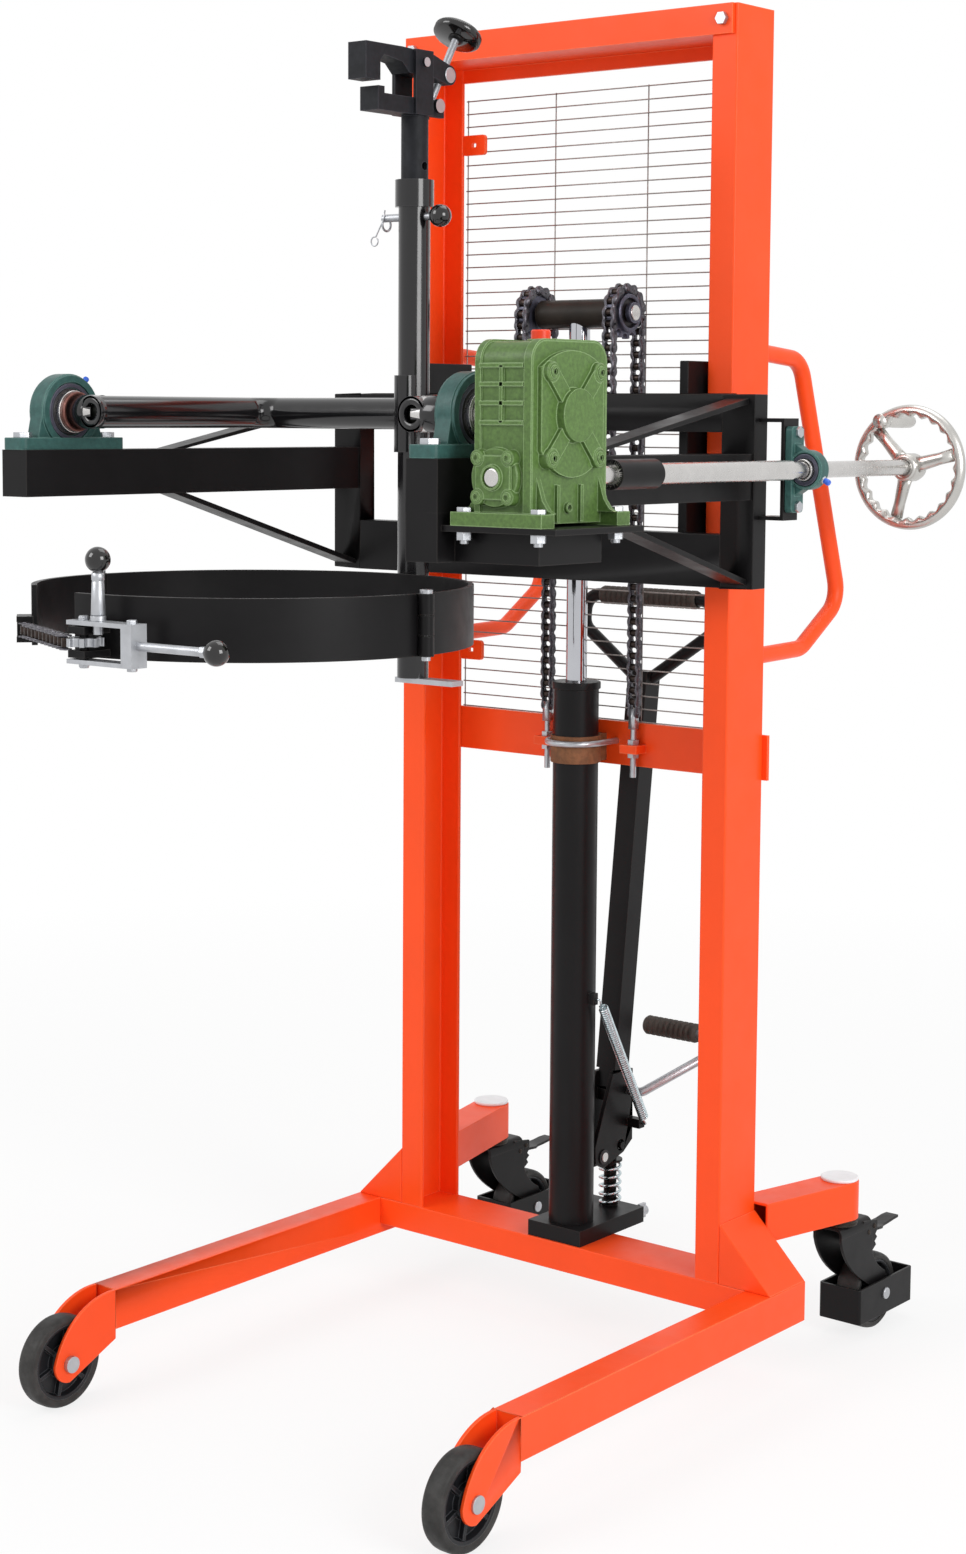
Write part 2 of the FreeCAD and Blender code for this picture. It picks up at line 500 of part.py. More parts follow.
UBOLT_X = "cyl_r + pad_t + ubolt_r"
LUG_TOP = "lug_z + lug_t"
ANCHOR_Y = "chain_pitch / (2 * sin(180 deg / chain_teeth))"
mid_holes = [rod(f"mid_hole_{n}", "y", "ubolt_r + fit", ("mast_half", "mast_half + mid_t"), (x, "ubolt_z"))
             for n, x in (("a", UBOLT_X), ("b", f"-({UBOLT_X})"))]
lug_holes = [rod(f"lug_hole_{n}", "z", "anchor_r + fit", ("lug_z", LUG_TOP), (x, ANCHOR_Y))
             for n, x in (("a", "chain_x"), ("b", "-chain_x"))]
lugs = [box(f"lug_{n}", (f"{x} - lug_w / 2", f"{x} + lug_w / 2"), ("mast_half - lug_reach", "mast_half"),
            ("lug_z", LUG_TOP)) for n, x in (("a", "chain_x"), ("b", "-chain_x"))]
node("mid_beam", cut(
    "mid_beam",
    fuse("mid_beam_weld", *lugs,
         box("mid_plate", ("-mid_x", "mid_x"), ("mast_half", "mast_half + mid_t"), ("mid_low", "mid_top"))),
    *mid_holes, *lug_holes,
))

handle_points = [
    Vector(size("handle_x"), size("mast_half"), size("handle_top") + size("handle_lift")),
    Vector(size("handle_x"), size("handle_out") - size("handle_up"),
           size("handle_top") - size("handle_dip")),
    Vector(size("handle_x"), size("handle_out"), size("handle_low") + size("handle_knee")),
    Vector(size("handle_x"), size("handle_out") - size("handle_dn"),
           size("handle_low") + size("handle_dip")),
    Vector(size("handle_x"), size("mast_half"), size("handle_low")),
]
handle_path = bent(handle_points, size("handle_bend"))
handle = made("handle", tube(handle_path, size("handle_r")).cut(
    tube(handle_path, size("handle_r") - size("handle_wall"))).common(
    Part.makeBox(2 * size("handle_x"), 2 * size("handle_out"), size("mast_top"), BACK * size("mast_half"))))
node("push_handles", pair("push_handles", handle))


def net(name):
    """Welded wire guard as one pierced sheet."""
    wide, low, high = size("net_x"), size("mid_top"), size("net_top")
    bar, columns = size("net_wire"), int(size("net_cols"))
    rows = int((high - low - bar) / size("net_pitch"))
    step_z = (high - low - bar) / rows
    step_x = (2 * wide - bar) / columns
    y = size("mast_half")

    def frame(x0, x1, z0, z1):
        corners = [Vector(x0, y, z0), Vector(x1, y, z0), Vector(x1, y, z1), Vector(x0, y, z1)]
        return Part.makePolygon(corners + corners[:1])
    wires = [frame(-wide, wide, low, high)]
    for row in range(rows):
        for column in range(columns):
            x0 = -wide + bar + column * step_x
            z0 = low + bar + row * step_z
            wires.append(frame(x0, x0 + step_x - bar, z0, z0 + step_z - bar))
    return made(name, Part.Face(wires, "Part::FaceMakerCheese").extrude(BACK * bar))


node("wire_guard", net("wire_guard"))

clips = []
for level in ("clip_low", "clip_high"):
    clips.append(cut(
        level,
        box(level + "_tab", ("mast_lip - clip_w", "mast_lip"), ("mast_half - clip_t", "mast_half"),
            (f"{level} - clip_h / 2", f"{level} + clip_h / 2")),
        rod(level + "_eye", "y", "clip_hole", ("mast_half - clip_t", "mast_half"),
            ("mast_lip - clip_w / 2", level)),
    ))
node("masts", pair("masts", group("mast_set", *mast, *clips)))

# lift cylinder and crosshead

PLATE_TOP = "leg_top + pump_plate_t"
node("pump_base", cut(
    "pump_base",
    fuse(
        "pump_base_weld",
        box("pump_plate", ("-pump_plate_x", "pump_plate_x"), ("pump_plate_front", "pump_plate_rear"),
            ("leg_top", PLATE_TOP)),
        rod("pump_barrel", "z", "barrel_r", (PLATE_TOP, PLATE_TOP + " + barrel_h"), (0, "plunger_y")),
    ),
    rod("pump_bore", "z", "plunger_r + turn", ("leg_top", PLATE_TOP + " + barrel_h"), (0, "plunger_y")),
    rod("valve_bore", "y", "valve_r / 2 + turn", ("pump_plate_rear - valve_len / 2", "pump_plate_rear"),
        ("pump_plate_x - valve_r * 1.6", "leg_top + pump_plate_t / 2")),
))

ear_hole = rod("ear_hole", "x", "rocker_pin + turn", ("-ear_w / 2", "ear_w / 2"), ("rocker_y", "rocker_z"))
cylinder_bore = rod("cylinder_bore", "z", "cyl_bore", (PLATE_TOP + " + cyl_floor", "cyl_top"), (0, 0))
cylinder = cut(
    "cylinder",
    fuse(
        "cylinder_weld",
        rod("cylinder_body", "z", "cyl_r", (PLATE_TOP, "cyl_top"), (0, 0)),
        box("ear_neck", ("-ear_w / 2", "ear_w / 2"), (0, "rocker_y"),
            ("rocker_z - ear_r", "rocker_z + ear_r")),
        rod("ear_eye", "x", "ear_r", ("-ear_w / 2", "ear_w / 2"), ("rocker_y", "rocker_z")),
        box("spring_tab", ("cyl_r - tab_sink", "pull_x"), ("-tab_w", "tab_w"),
            ("pull_top - tab_half", "pull_top + tab_half")),
    ),
    cylinder_bore, ear_hole,
)
node("cylinder_gland", cut(
    "cylinder_gland",
    fuse("gland_weld",
         rod("gland_ring", "z", "gland_r", ("cyl_top", "cyl_top + gland_t"), (0, 0)),
         rod("gland_spigot", "z", "cyl_bore - fit", ("cyl_top - gland_plug", "cyl_top"), (0, 0))),
    rod("gland_bore", "z", "lift_rod_r + turn", ("cyl_top - gland_plug", "cyl_top + gland_t"), (0, 0)),
))
cylinder_pad = cut(
    "cylinder_pad",
    fuse("pad_weld",
         rod("pad_sleeve", "z", "cyl_r + pad_t", ("ubolt_z - pad_h", "ubolt_z + pad_h / 3"), (0, 0)),
         box("pad_saddle", ("-cyl_r * 0.7", "cyl_r * 0.7"), (0, "mast_half"),
             ("ubolt_z - pad_h", "ubolt_z + pad_h / 3"))),
    rod("pad_bore", "z", "cyl_r + fit", ("ubolt_z - pad_h", "ubolt_z + pad_h / 3"), (0, 0)),
)
node("lift_cylinder", group("lift_cylinder", cylinder, cylinder_pad))

lift_rod = fuse(
    "lift_rod",
    rod("rod_bar", "z", "lift_rod_r", ("piston_low", "head_z"), (0, 0)),
    rod("piston", "z", "cyl_bore - turn", ("piston_low", "piston_low + piston_t"), (0, 0)),
)
crosshead_bar = cut(
    "crosshead_bar",
    fuse("crosshead_weld",
         rod("crosshead_tube", "x", "head_r", ("-head_half", "head_half"), (0, "head_z")),
         rod("crosshead_pin", "x", "head_pin", ("-head_end", "head_end"), (0, "head_z")),
         rod("crosshead_cap_a", "x", "head_cap", ("head_end - head_cap_t", "head_end"), (0, "head_z")),
         rod("crosshead_cap_b", "x", "head_cap", ("-head_end", "head_cap_t - head_end"), (0, "head_z"))),
    rod("crosshead_socket", "z", "lift_rod_r + fit", ("head_z - head_r", "head_z"), (0, 0)),
)
node("crosshead", group("crosshead", lift_rod, crosshead_bar))


def sprocket(name, teeth, bore, wide, centre, facing):
    """Toothed chain wheel whose tooth gaps open outwards."""
    ring = size("chain_pitch") / (2 * math.sin(math.pi / teeth))
    seat = size("chain_roller") + size("tooth_gap")
    tip = ring + size("sprocket_rise")
    gaps = []
    for tooth in range(teeth):
        wide_seat = seat * size("tooth_flare")
        corners = ((ring, -seat), (tip + 1, -wide_seat), (tip + 1, wide_seat), (ring, seat))
        mouth = outline([Vector(x, y, 0) for x, y in corners]).extrude(UP * wide)
        gap = Part.makeCylinder(seat, wide, RIGHT * ring).fuse(mouth)
        gap.rotate(Vector(), UP, 360 * (tooth + 0.5) / teeth)
        gaps.append(gap)
    wheel = Part.makeCylinder(tip, wide).cut(gaps + [Part.makeCylinder(bore, wide)])
    part = made(name, wheel)
    part.Placement = Placement(centre - facing.multVec(UP) * (wide / 2), facing)
    return part


SIDEWAYS = Rotation(BACK, UP, RIGHT, "ZXY")
head = Vector(size("chain_x"), 0, size("head_z"))
right_wheel = sprocket("right_chain_wheel", int(size("chain_teeth")), size("head_pin") + size("turn"),
                       size("sprocket_w"), head, SIDEWAYS)
node("chain_wheels", pair("chain_wheels", right_wheel))


def chain_strip(name, x, y, low, high, first):
    """Straight roller chain: side plates and rollers one pitch apart."""
    inner, thick, tall = size("link_in"), size("link_t"), size("link_h")
    count = int((high - low - size("chain_roller")) / size("chain_pitch") - first) + 1
    sides = [Part.makeBox(thick, tall, high - low, Vector(x + side, y - tall / 2, low))
             for side in (inner, -inner - thick)]
    rollers = []
    for link in range(count):
        spot = Vector(x - inner, y, high - size("chain_pitch") * (link + first))
        rollers.append(Part.makeCylinder(size("chain_roller"), 2 * inner, spot, RIGHT))
    return made(name, sides[0].fuse(sides[1:] + rollers).removeSplitter())


def chain_wrap(name, x, z):
    """Half turn of roller chain over a chain wheel."""
    ring = size("chain_pitch") / (2 * math.sin(math.pi / size("chain_teeth")))
    inner, thick, tall = size("link_in"), size("link_t"), size("link_h")
    hoop = Part.makeCylinder(ring + tall / 2, thick, Vector(), UP, 180).cut(
        Part.makeCylinder(ring - tall / 2, thick, Vector(), UP, 180))
    sides = []
    for lift in (inner, -inner - thick):
        hoop_side = hoop.copy()
        hoop_side.translate(UP * lift)
        sides.append(hoop_side)
    step = 2 * math.pi / size("chain_teeth")
    rollers = []
    for link in range(int(size("chain_teeth")) // 2):
        turn = step * (link + 0.5)
        spot = Vector(ring * math.cos(turn), ring * math.sin(turn), -inner)
        rollers.append(Part.makeCylinder(size("chain_roller"), 2 * inner, spot))
    part = made(name, sides[0].fuse(sides[1:] + rollers).removeSplitter())
    part.Placement = Placement(Vector(x, 0, z), SIDEWAYS)
    return part


PITCH_R = size("chain_pitch") / (2 * math.sin(math.pi / size("chain_teeth")))
anchor_run = chain_strip("anchor_run", size("chain_x"), PITCH_R, size("anchor_top"), size("head_z"), 0.5)
node("anchor_chain_runs", pair("anchor_chain_runs", anchor_run))
node("chain_wraps", pair("chain_wraps", chain_wrap("chain_turn", size("chain_x"), size("head_z"))))

anchor = fuse(
    "anchor",
    rod("anchor_bar", "z", "anchor_r", ("anchor_low", "anchor_top"), ("chain_x", ANCHOR_Y)),
    hexagon("anchor_nut_up", "z", "anchor_nut * 2", (LUG_TOP, LUG_TOP + " + anchor_nut_t"),
            ("chain_x", ANCHOR_Y)),
    hexagon("anchor_nut_dn", "z", "anchor_nut * 2", ("lug_z - anchor_nut_t", "lug_z"),
            ("chain_x", ANCHOR_Y)),
)
chain_anchors = pair("chain_anchors", anchor)

bow_r = size("cyl_r") + size("pad_t") + size("ubolt_r")
bow_end = size("mast_half") + size("mid_t") + 2 * size("anchor_nut_t")
bow_wire = Part.Wire([
    Part.makeLine(Vector(bow_r, bow_end, 0), Vector(bow_r, 0, 0)),
    Part.Arc(Vector(bow_r, 0, 0), Vector(0, -bow_r, 0), Vector(-bow_r, 0, 0)).toShape(),
    Part.makeLine(Vector(-bow_r, 0, 0), Vector(-bow_r, bow_end, 0)),
])
bow = made("ubolt_bow", tube(bow_wire, size("ubolt_r")))
bow.Placement = Placement(Vector(0, 0, size("ubolt_z")), Rotation())
BEAM_BACK = "mast_half + mid_t"
cylinder_clamp = fuse(
    "cylinder_clamp", bow,
    *[hexagon(f"ubolt_nut_{n}", "y", "anchor_nut * 2", (BEAM_BACK, BEAM_BACK + " + anchor_nut_t"),
              (x, "ubolt_z"))
      for n, x in (("a", UBOLT_X), ("b", f"-({UBOLT_X})"))],
)

STRIP_FACE = "-mast_half - strip_t"
beam_bolt = fuse(
    "beam_bolt",
    hexagon("beam_bolt_head", "y", "anchor_nut * 2", (STRIP_FACE + " - anchor_nut_t", STRIP_FACE),
            (BOLT_X, BOLT_Z)),
    rod("beam_bolt_shank", "y", BOLT_R, (STRIP_FACE, "mast_wall - mast_half"), (BOLT_X, BOLT_Z)),
)
beam_bolts = pair("beam_bolts", beam_bolt)
node("frame_fasteners", group("frame_fasteners", front_axles, chain_anchors, cylinder_clamp, beam_bolts))

# pump

PIN_Z = "plunger_pin_z"
node("pump_plunger", fuse(
    "pump_plunger",
    rod("plunger_bar", "z", "plunger_r", ("leg_top + pump_plate_t - play * 3", PIN_Z), (0, "plunger_y")),
    rod("plunger_seat", "z", "seat_r", ("seat_z", "seat_z + seat_t"), (0, "plunger_y")),
    rod("plunger_pin", "x", "plunger_pin",
        ("-cheek_in - cheek_plate - pin_end", "cheek_in + cheek_plate + pin_end"),
        ("plunger_y", PIN_Z)),
    rod("plunger_eye", "x", "plunger_eye", ("play - cheek_in", "cheek_in - play"), ("plunger_y", PIN_Z)),
))

plate_top = size("leg_top") + size("pump_plate_t")
coil_rise = size("seat_z") - plate_top - 2 * size("coil_wire")
plunger_spring = made("plunger_spring", helix_tube(
    size("coil_r"), size("coil_wire"), coil_rise / size("coil_turns"), size("coil_turns"),
    Rotation(), Vector(0, size("plunger_y"), plate_top + size("coil_wire"))))
node("plunger_spring", plunger_spring)

lean = Rotation(RIGHT, -size("lever_lean"))
lever_foot = Vector(0, size("lever_y"), size("lever_z"))
cheek_view = [
    (size("rocker_y") - size("cheek_toe"), size("rocker_z") - size("cheek_nose")),
    (size("rocker_y"), size("rocker_z") - size("cheek_edge")),
    (size("plunger_y") + size("cheek_nose"), size("plunger_pin_z") - size("cheek_sag")),
    (size("plunger_y") + size("cheek_back"), size("plunger_pin_z") + size("pin_end")),
    (size("lever_y") + size("cheek_back"), size("lever_z") - size("cheek_edge")),
    (size("lever_y") + size("cheek_back"), size("lever_z") + size("cheek_rise")),
    (size("lever_y") - size("cheek_front"), size("lever_z") + size("cheek_rise")),
    (size("rocker_y") - size("cheek_front"), size("rocker_z") + size("cheek_edge")),
]
inner, outer = size("cheek_in"), size("cheek_in") + size("cheek_plate")
PIN_SLOT = "plunger_pin + slot_play"
rocker = cut(
    "pump_rocker",
    fuse(
        "rocker_weld",
        plate_x("rocker_cheek_a", (inner, outer), cheek_view),
        plate_x("rocker_cheek_b", (-outer, -inner), cheek_view),
        box("rocker_bridge", ("-cheek_in", "cheek_in"), ("lever_y - cheek_edge", "lever_y + cheek_back"),
            ("lever_z - cheek_edge", "lever_z")),
        rod("rocker_pivot", "x", "rocker_pin",
            ("-cheek_in - cheek_plate - pin_end", "cheek_in + cheek_plate + pin_end"),
            ("rocker_y", "rocker_z")),
        box("spring_hook", ("cheek_in", "pull_x"),
            ("lever_y + hook_y - hook_half", "lever_y + hook_y + hook_half"),
            ("lever_z - hook_z - hook_half", "lever_z - hook_z + hook_half")),
    ),
    rod("pin_slot", "x", PIN_SLOT, ("-cheek_in - cheek_plate", "cheek_in + cheek_plate"),
        ("plunger_y", PIN_Z)),
)
node("pump_rocker", rocker)

w = size("lever_w")
wall = size("lever_wall")
foot_rise = w / 2 * math.tan(math.radians(size("lever_lean"))) + size("fit")
stem = Part.makeBox(w, w, size("lever_len") - foot_rise, Vector(-w / 2, -w / 2, foot_rise)).cut(
    Part.makeBox(w - 2 * wall, w - 2 * wall, size("lever_len") - wall,
                 Vector(wall - w / 2, wall - w / 2, 0)))
notch = size("cheek_plate") + size("play")
stem = stem.cut([Part.makeBox(notch, 2 * w, size("cheek_rise") + size("notch_over"),
                              Vector(x, -w, -size("play")))
                 for x in (size("cheek_in"), -size("cheek_in") - notch)])
half, top, drop = size("loop_half"), size("loop_top"), size("loop_drop")
root = w / 2 - size("loop_set")
shoulder = size("lever_len") - size("loop_r")
loop_points = [Vector(x, 0, z) for x, z in (
    (-root, shoulder), (-half, top - drop), (-half, top),
    (half, top), (half, top - drop), (root, shoulder))]
loop = tube(bent(loop_points, size("loop_bend")), size("loop_r"))
hand_lever = made("hand_lever", stem.fuse(loop).removeSplitter())
hand_lever.Placement = Placement(lever_foot, lean)
node("hand_lever", hand_lever)

grip_end = Vector(-size("grip_half"), 0, top)
sleeve = Part.makeCylinder(size("grip_r"), 2 * size("grip_half"), grip_end, RIGHT).cut(
    Part.makeCylinder(size("loop_r") + size("fit"), 2 * size("grip_half"), grip_end, RIGHT))
lever_grip = made("lever_grip", sleeve)
lever_grip.Placement = Placement(lever_foot, lean)
node("lever_grip", lever_grip)

foot_root = (size("lever_y") + size("foot_root_y"), size("lever_z") - size("foot_root_z"))
foot_elbow = size("foot_x") + size("foot_half") + size("foot_elbow")
foot_points = [
    Vector(outer, *foot_root),
    Vector(outer + size("foot_out"), *foot_root),
    Vector(foot_elbow, size("foot_y") - size("foot_lean"), size("foot_z") - size("foot_drop")),
    Vector(foot_elbow, size("foot_y"), size("foot_z")),
    Vector(size("foot_x") - size("foot_half") + size("foot_plug"), size("foot_y"), size("foot_z")),
]
foot_rod = made("foot_rod", tube(bent(foot_points, size("foot_bend")), size("foot_rod")))
foot_rubber = cut(
    "foot_rubber",
    rod("foot_sleeve", "x", "foot_r", ("foot_x - foot_half", "foot_x + foot_half"), ("foot_y", "foot_z")),
    rod("foot_bore", "x", "foot_rod + fit", ("foot_x - foot_half + foot_plug", "foot_x + foot_half"),
        ("foot_y", "foot_z")),
)

node("foot_pedal", group("foot_pedal", foot_rod, foot_rubber))

pull_out = size("pull_x") + size("pull_r") + size("pull_wire") + size("gap")
pull_high = Vector(pull_out, 0, size("pull_top"))
pull_low = Vector(pull_out, size("lever_y") + size("hook_y"), size("lever_z") - size("hook_z"))
pull_line = pull_high - pull_low
pull_turns = int(pull_line.Length / size("pull_pitch"))
pull_step = pull_line.Length / pull_turns
pull_spring = made("pull_spring", helix_tube(
    size("pull_r"), size("pull_wire"), pull_step, pull_turns, Rotation(UP, pull_line), pull_low))
node("pull_spring", pull_spring)

VALVE_X, VALVE_Z = "pump_plate_x - valve_r * 1.6", "leg_top + pump_plate_t / 2"
node("release_valve", fuse(
    "release_valve",
    rod("valve_stem", "y", "valve_r / 2",
        ("pump_plate_rear - valve_len / 2", "pump_plate_rear + valve_neck * 3"), (VALVE_X, VALVE_Z)),
    rod("valve_knob", "y", "valve_r", ("pump_plate_rear + valve_neck", "pump_plate_rear + valve_len / 2"),
        (VALVE_X, VALVE_Z)),
    box("valve_wing", (VALVE_X + " - valve_wing", VALVE_X + " + valve_wing"),
        ("pump_plate_rear + valve_neck * 1.5", "pump_plate_rear + valve_len / 2"),
        (VALVE_Z + " - valve_r * 1.4", VALVE_Z + " + valve_r * 1.4")),
))

# carriage


def channel(name, x, y, z):
    """Rolled channel open towards +Y."""
    return cut(name, box(name + "_bar", x, y, z),
               box(name + "_hollow", (f"{x[0]} + beam_wall", f"{x[1]} - beam_wall"),
                   (f"{y[0]} + beam_wall", y[1]),
                   (f"{z[0]} + beam_wall", f"{z[1]} - beam_wall")))


BEAM_Y = ("beam_front", "beam_back")
upper_beam = channel("upper_beam", ("-post_in", "post_in"), BEAM_Y, ("beam_up_low", "beam_up_top"))
lower_beam = channel("lower_beam", ("-post_in", "post_in"), BEAM_Y, ("beam_dn_low", "beam_dn_top"))
end_post = channel("end_post", ("post_in", "post_out"), BEAM_Y, ("beam_dn_low", "beam_up_top"))
end_posts = pair("end_posts", end_post)

LEVELS = ("roller_up", "roller_dn")
rail = fuse(
    "rail",
    box("rail_plate", ("rail_in", "rail_out"), ("beam_back", "rail_back"), ("rail_low", "rail_top")),
    *[rod(f"{z}_pin", "x", "roller_pin", ("rail_in", "roller_out - play"), (0, z)) for z in LEVELS],
    *[rod(f"{z}_boss", "x", "roller_boss", ("rail_out", "roller_in - gap"), (0, z)) for z in LEVELS],
)
node("roller_plates", pair("roller_plates", rail))
ROLLER_R = "mast_half - mast_wall - roller_play"
for name, level in (("upper_rollers", "roller_up"), ("lower_rollers", "roller_dn")):
    roller = cut(name + "_one", rod(name + "_disc", "x", ROLLER_R, ("roller_in", "roller_out"), (0, level)),
                 rod(name + "_bore", "x", "roller_pin + turn", ("roller_in", "roller_out"), (0, level)))
    node(name, pair(name, roller))

ARM_IN, ARM_OUT = "arm_x - arm_w / 2", "arm_x + arm_w / 2"
block_holes = [rod(f"arm_hole_{n}", "z", "block_bolt_r + fit", ("arm_top - arm_wall", "arm_top"),
                   ("arm_x", y))
               for n, y in (("a", "tilt_y - block_bolt"), ("b", "tilt_y + block_bolt"))]
arm = cut(
    "arm",
    box("arm_bar", (ARM_IN, ARM_OUT), ("arm_front", "beam_front"), ("arm_low", "arm_top")),
    box("arm_hollow", (ARM_IN + " + arm_wall", ARM_OUT + " - arm_wall"),
        ("arm_front + arm_wall", "beam_front"),
        ("arm_low + arm_wall", "arm_top - arm_wall")),
    *block_holes,
)
arms = pair("arms", arm)

FOOT_X = ("case_in - case_foot", "case_out + case_foot")
FOOT_BOLTS = [(f"{x}_{y}", fx, fy) for x, fx in (("in", FOOT_X[0] + " + foot_edge_x"),
                                                 ("out", FOOT_X[1] + " - foot_edge_x"))
              for y, fy in (("front", "plat_front + foot_edge_y"), ("back", "plat_back - foot_edge_y"))]
PLATE_LOW = "plat_top - plat_wall"
SKIRT_X, SKIRT_Y = "plat_out - plat_side", ("plat_front + plat_set", "plat_back - plat_set")
platform = cut(
    "gearbox_platform",
    fuse("platform_weld",
         box("platform_tube", (ARM_IN, ARM_OUT), ("arm_front", "plat_back"), ("plat_low", "arm_low")),
         box("platform_plate", (ARM_OUT, "plat_out"), ("plat_front", "plat_back"), (PLATE_LOW, "plat_top")),
         box("platform_skirt", (ARM_OUT, SKIRT_X), SKIRT_Y, ("plat_low", PLATE_LOW))),
    box("platform_hollow", (ARM_OUT + " + plat_wall", SKIRT_X + " - plat_wall"),
        (SKIRT_Y[0] + " + plat_wall", SKIRT_Y[1] + " - plat_wall"), ("plat_low", PLATE_LOW)),
    box("platform_tube_hollow", (ARM_IN + " + plat_wall", ARM_OUT + " - plat_wall"),
        ("arm_front + plat_wall", "plat_back"), ("plat_low + plat_wall", "arm_low")),
    *[rod(f"platform_hole_{n}", "z", "foot_bolt_r + fit", (PLATE_LOW, "plat_top"), (x, y))
      for n, x, y in FOOT_BOLTS],
)

node("carriage_arms", group("carriage_arms", arms, platform))


def brace(name, foot_z, head_z, up):
    """Flat bar from the arm to an end post."""
    y0, y1, thick = size("brace_y"), size("beam_front"), size("brace_t")
    drop = thick if up else -thick
    x0 = size("arm_x") - size("brace_w") / 2
    points = [(y0, foot_z), (y0 + 3 * thick, foot_z), (y1, head_z - drop), (y1, head_z)]
    return plate_x(name, (x0, x0 + size("brace_w")), points)


brace_up = brace("brace_up", size("arm_top"), size("beam_up_top") - size("beam_wall"), True)
brace_dn = brace("brace_dn", size("arm_low"), size("beam_dn_low") + size("beam_wall"), False)
left_braces = [mirror("left_" + part.Name, part) for part in (brace_up, brace_dn)]
right_lower = cut("right_brace_dn", brace_dn,
                  box("brace_trim", (0, "plat_out"), ("arm_front", "plat_back + gap"),
                      ("plat_low - arm_h", "arm_low")))
braces = group("braces", brace_up, right_lower, *left_braces)

chain_lug = fuse(
    "chain_lug",
    box("chain_lug_arm", ("chain_x - lug_w / 2", "chain_x + lug_w / 2"), ("beam_back", "-chain_roller * 5"),
        ("beam_dn_top - beam_wall * 4", "beam_dn_top")),
    box("chain_lug_post", ("chain_x - link_in - link_t", "chain_x + link_in + link_t"),
        ("-chain_roller * 8", "-chain_roller * 5"), ("beam_dn_top - play", "chain_lug_z")),
)
node("carriage_beams", group("carriage_beams", upper_beam, lower_beam, end_posts,
                             pair("chain_lugs", chain_lug)))
carriage_run = chain_strip(
    "carriage_run", size("chain_x"), -PITCH_R, size("chain_lug_z"), size("head_z"), 1.0)
node("carriage_chain_runs", pair("carriage_chain_runs", carriage_run))

# tilt bearings and gearbox


def pillow(name, half, foot, wide, reach, radius, ring, bore, hole, hole_r):
    """Cast foot and round housing; bore along local X at the origin, foot below it."""
    slope = outline([Vector(-wide / 2, y, z) for y, z in (
        (-half * 0.6, foot - reach), (half * 0.6, foot - reach), (radius * 0.97, 0), (-radius * 0.97, 0))])
    cast = Part.makeBox(wide, 2 * half, foot, Vector(-wide / 2, -half, -reach)).fuse([
        slope.extrude(RIGHT * wide * 0.7),
        Part.makeCylinder(radius, ring, Vector(-ring / 2, 0, 0), RIGHT),
    ])
    holes = [Part.makeCylinder(hole_r, foot, Vector(0, y, -reach)) for y in (-hole, hole)]
    holes.append(Part.makeCylinder(bore, wide, Vector(-wide / 2, 0, 0), RIGHT))
    return made(name, cast.cut(holes).removeSplitter())


def tilt_block(name, x):
    part = pillow(name, size("block_half"), size("block_foot"), size("block_w"),
                  size("tilt_z") - size("arm_top"), size("block_r"), size("block_ring"),
                  size("bearing_r") + size("fit"), size("block_bolt"), size("block_bolt_r") + size("fit"))
    part.Placement = Placement(Vector(x, size("tilt_y"), size("tilt_z")), Rotation())
    return part


third_hole = size("third_h") / 2 - size("third_edge")
third = pillow("third_block", size("third_h") / 2, size("third_t"), size("third_w"),
               size("worm_x") - size("third_base"), size("third_r"), size("third_w"),
               size("worm_shaft") + size("turn"), third_hole, size("anchor_r") + size("fit"))
third.Placement = Placement(Vector(size("worm_x"), size("third_y"), size("worm_z")),
                            Rotation(BACK, UP, RIGHT, "XYZ"))
blocks = group("blocks", tilt_block("left_block", -size("arm_x")), tilt_block("right_block", size("arm_x")),
               third)
inserts = [cut(f"insert_{n}", rod(f"insert_{n}_ring", "x", "bearing_r",
                                  (f"{x} - block_w / 2", f"{x} + block_w / 2"),
                                  ("tilt_y", "tilt_z")),
               rod(f"insert_{n}_bore", "x", "stub_r + turn", (f"{x} - block_w / 2", f"{x} + block_w / 2"),
                   ("tilt_y", "tilt_z"))) for n, x in (("left", "-arm_x"), ("right", "arm_x"))]
node("pillow_blocks", group("pillow_blocks", blocks, *inserts))

HAT_Y = ("third_y - hat_w / 2", "third_y + hat_w / 2")
HAT_Z = ("worm_z - third_h / 2 - hat_edge", "worm_z + third_h / 2 + hat_edge")
shaft_bracket = cut(
    "shaft_bracket",
    box("hat_block", ("post_out", "third_base"), HAT_Y, HAT_Z),
    box("hat_hollow", ("post_out", "third_base - hat_t"), HAT_Y,
        (HAT_Z[0] + " + hat_t", HAT_Z[1] + " - hat_t")),
    *[rod(f"hat_hole_{n}", "x", "anchor_r + fit", ("third_base - hat_t", "third_base"), ("third_y", z))
      for n, z in (("a", "worm_z + third_h / 2 - third_edge"), ("b", "worm_z - third_h / 2 + third_edge"))],
)

node("arm_braces", group("arm_braces", braces, shaft_bracket))


def stud(name, axis, radius, seat, ends, centre, out):
    """Hex bolt: head standing on the seat, shank to the far end."""
    head = (seat, f"({seat}) + {radius}") if out > 0 else (f"({seat}) - {radius}", seat)
    return fuse(name, hexagon(name + "_head", axis, f"{radius} * 3.1", head, centre),
                rod(name + "_shank", axis, radius, ends, centre))


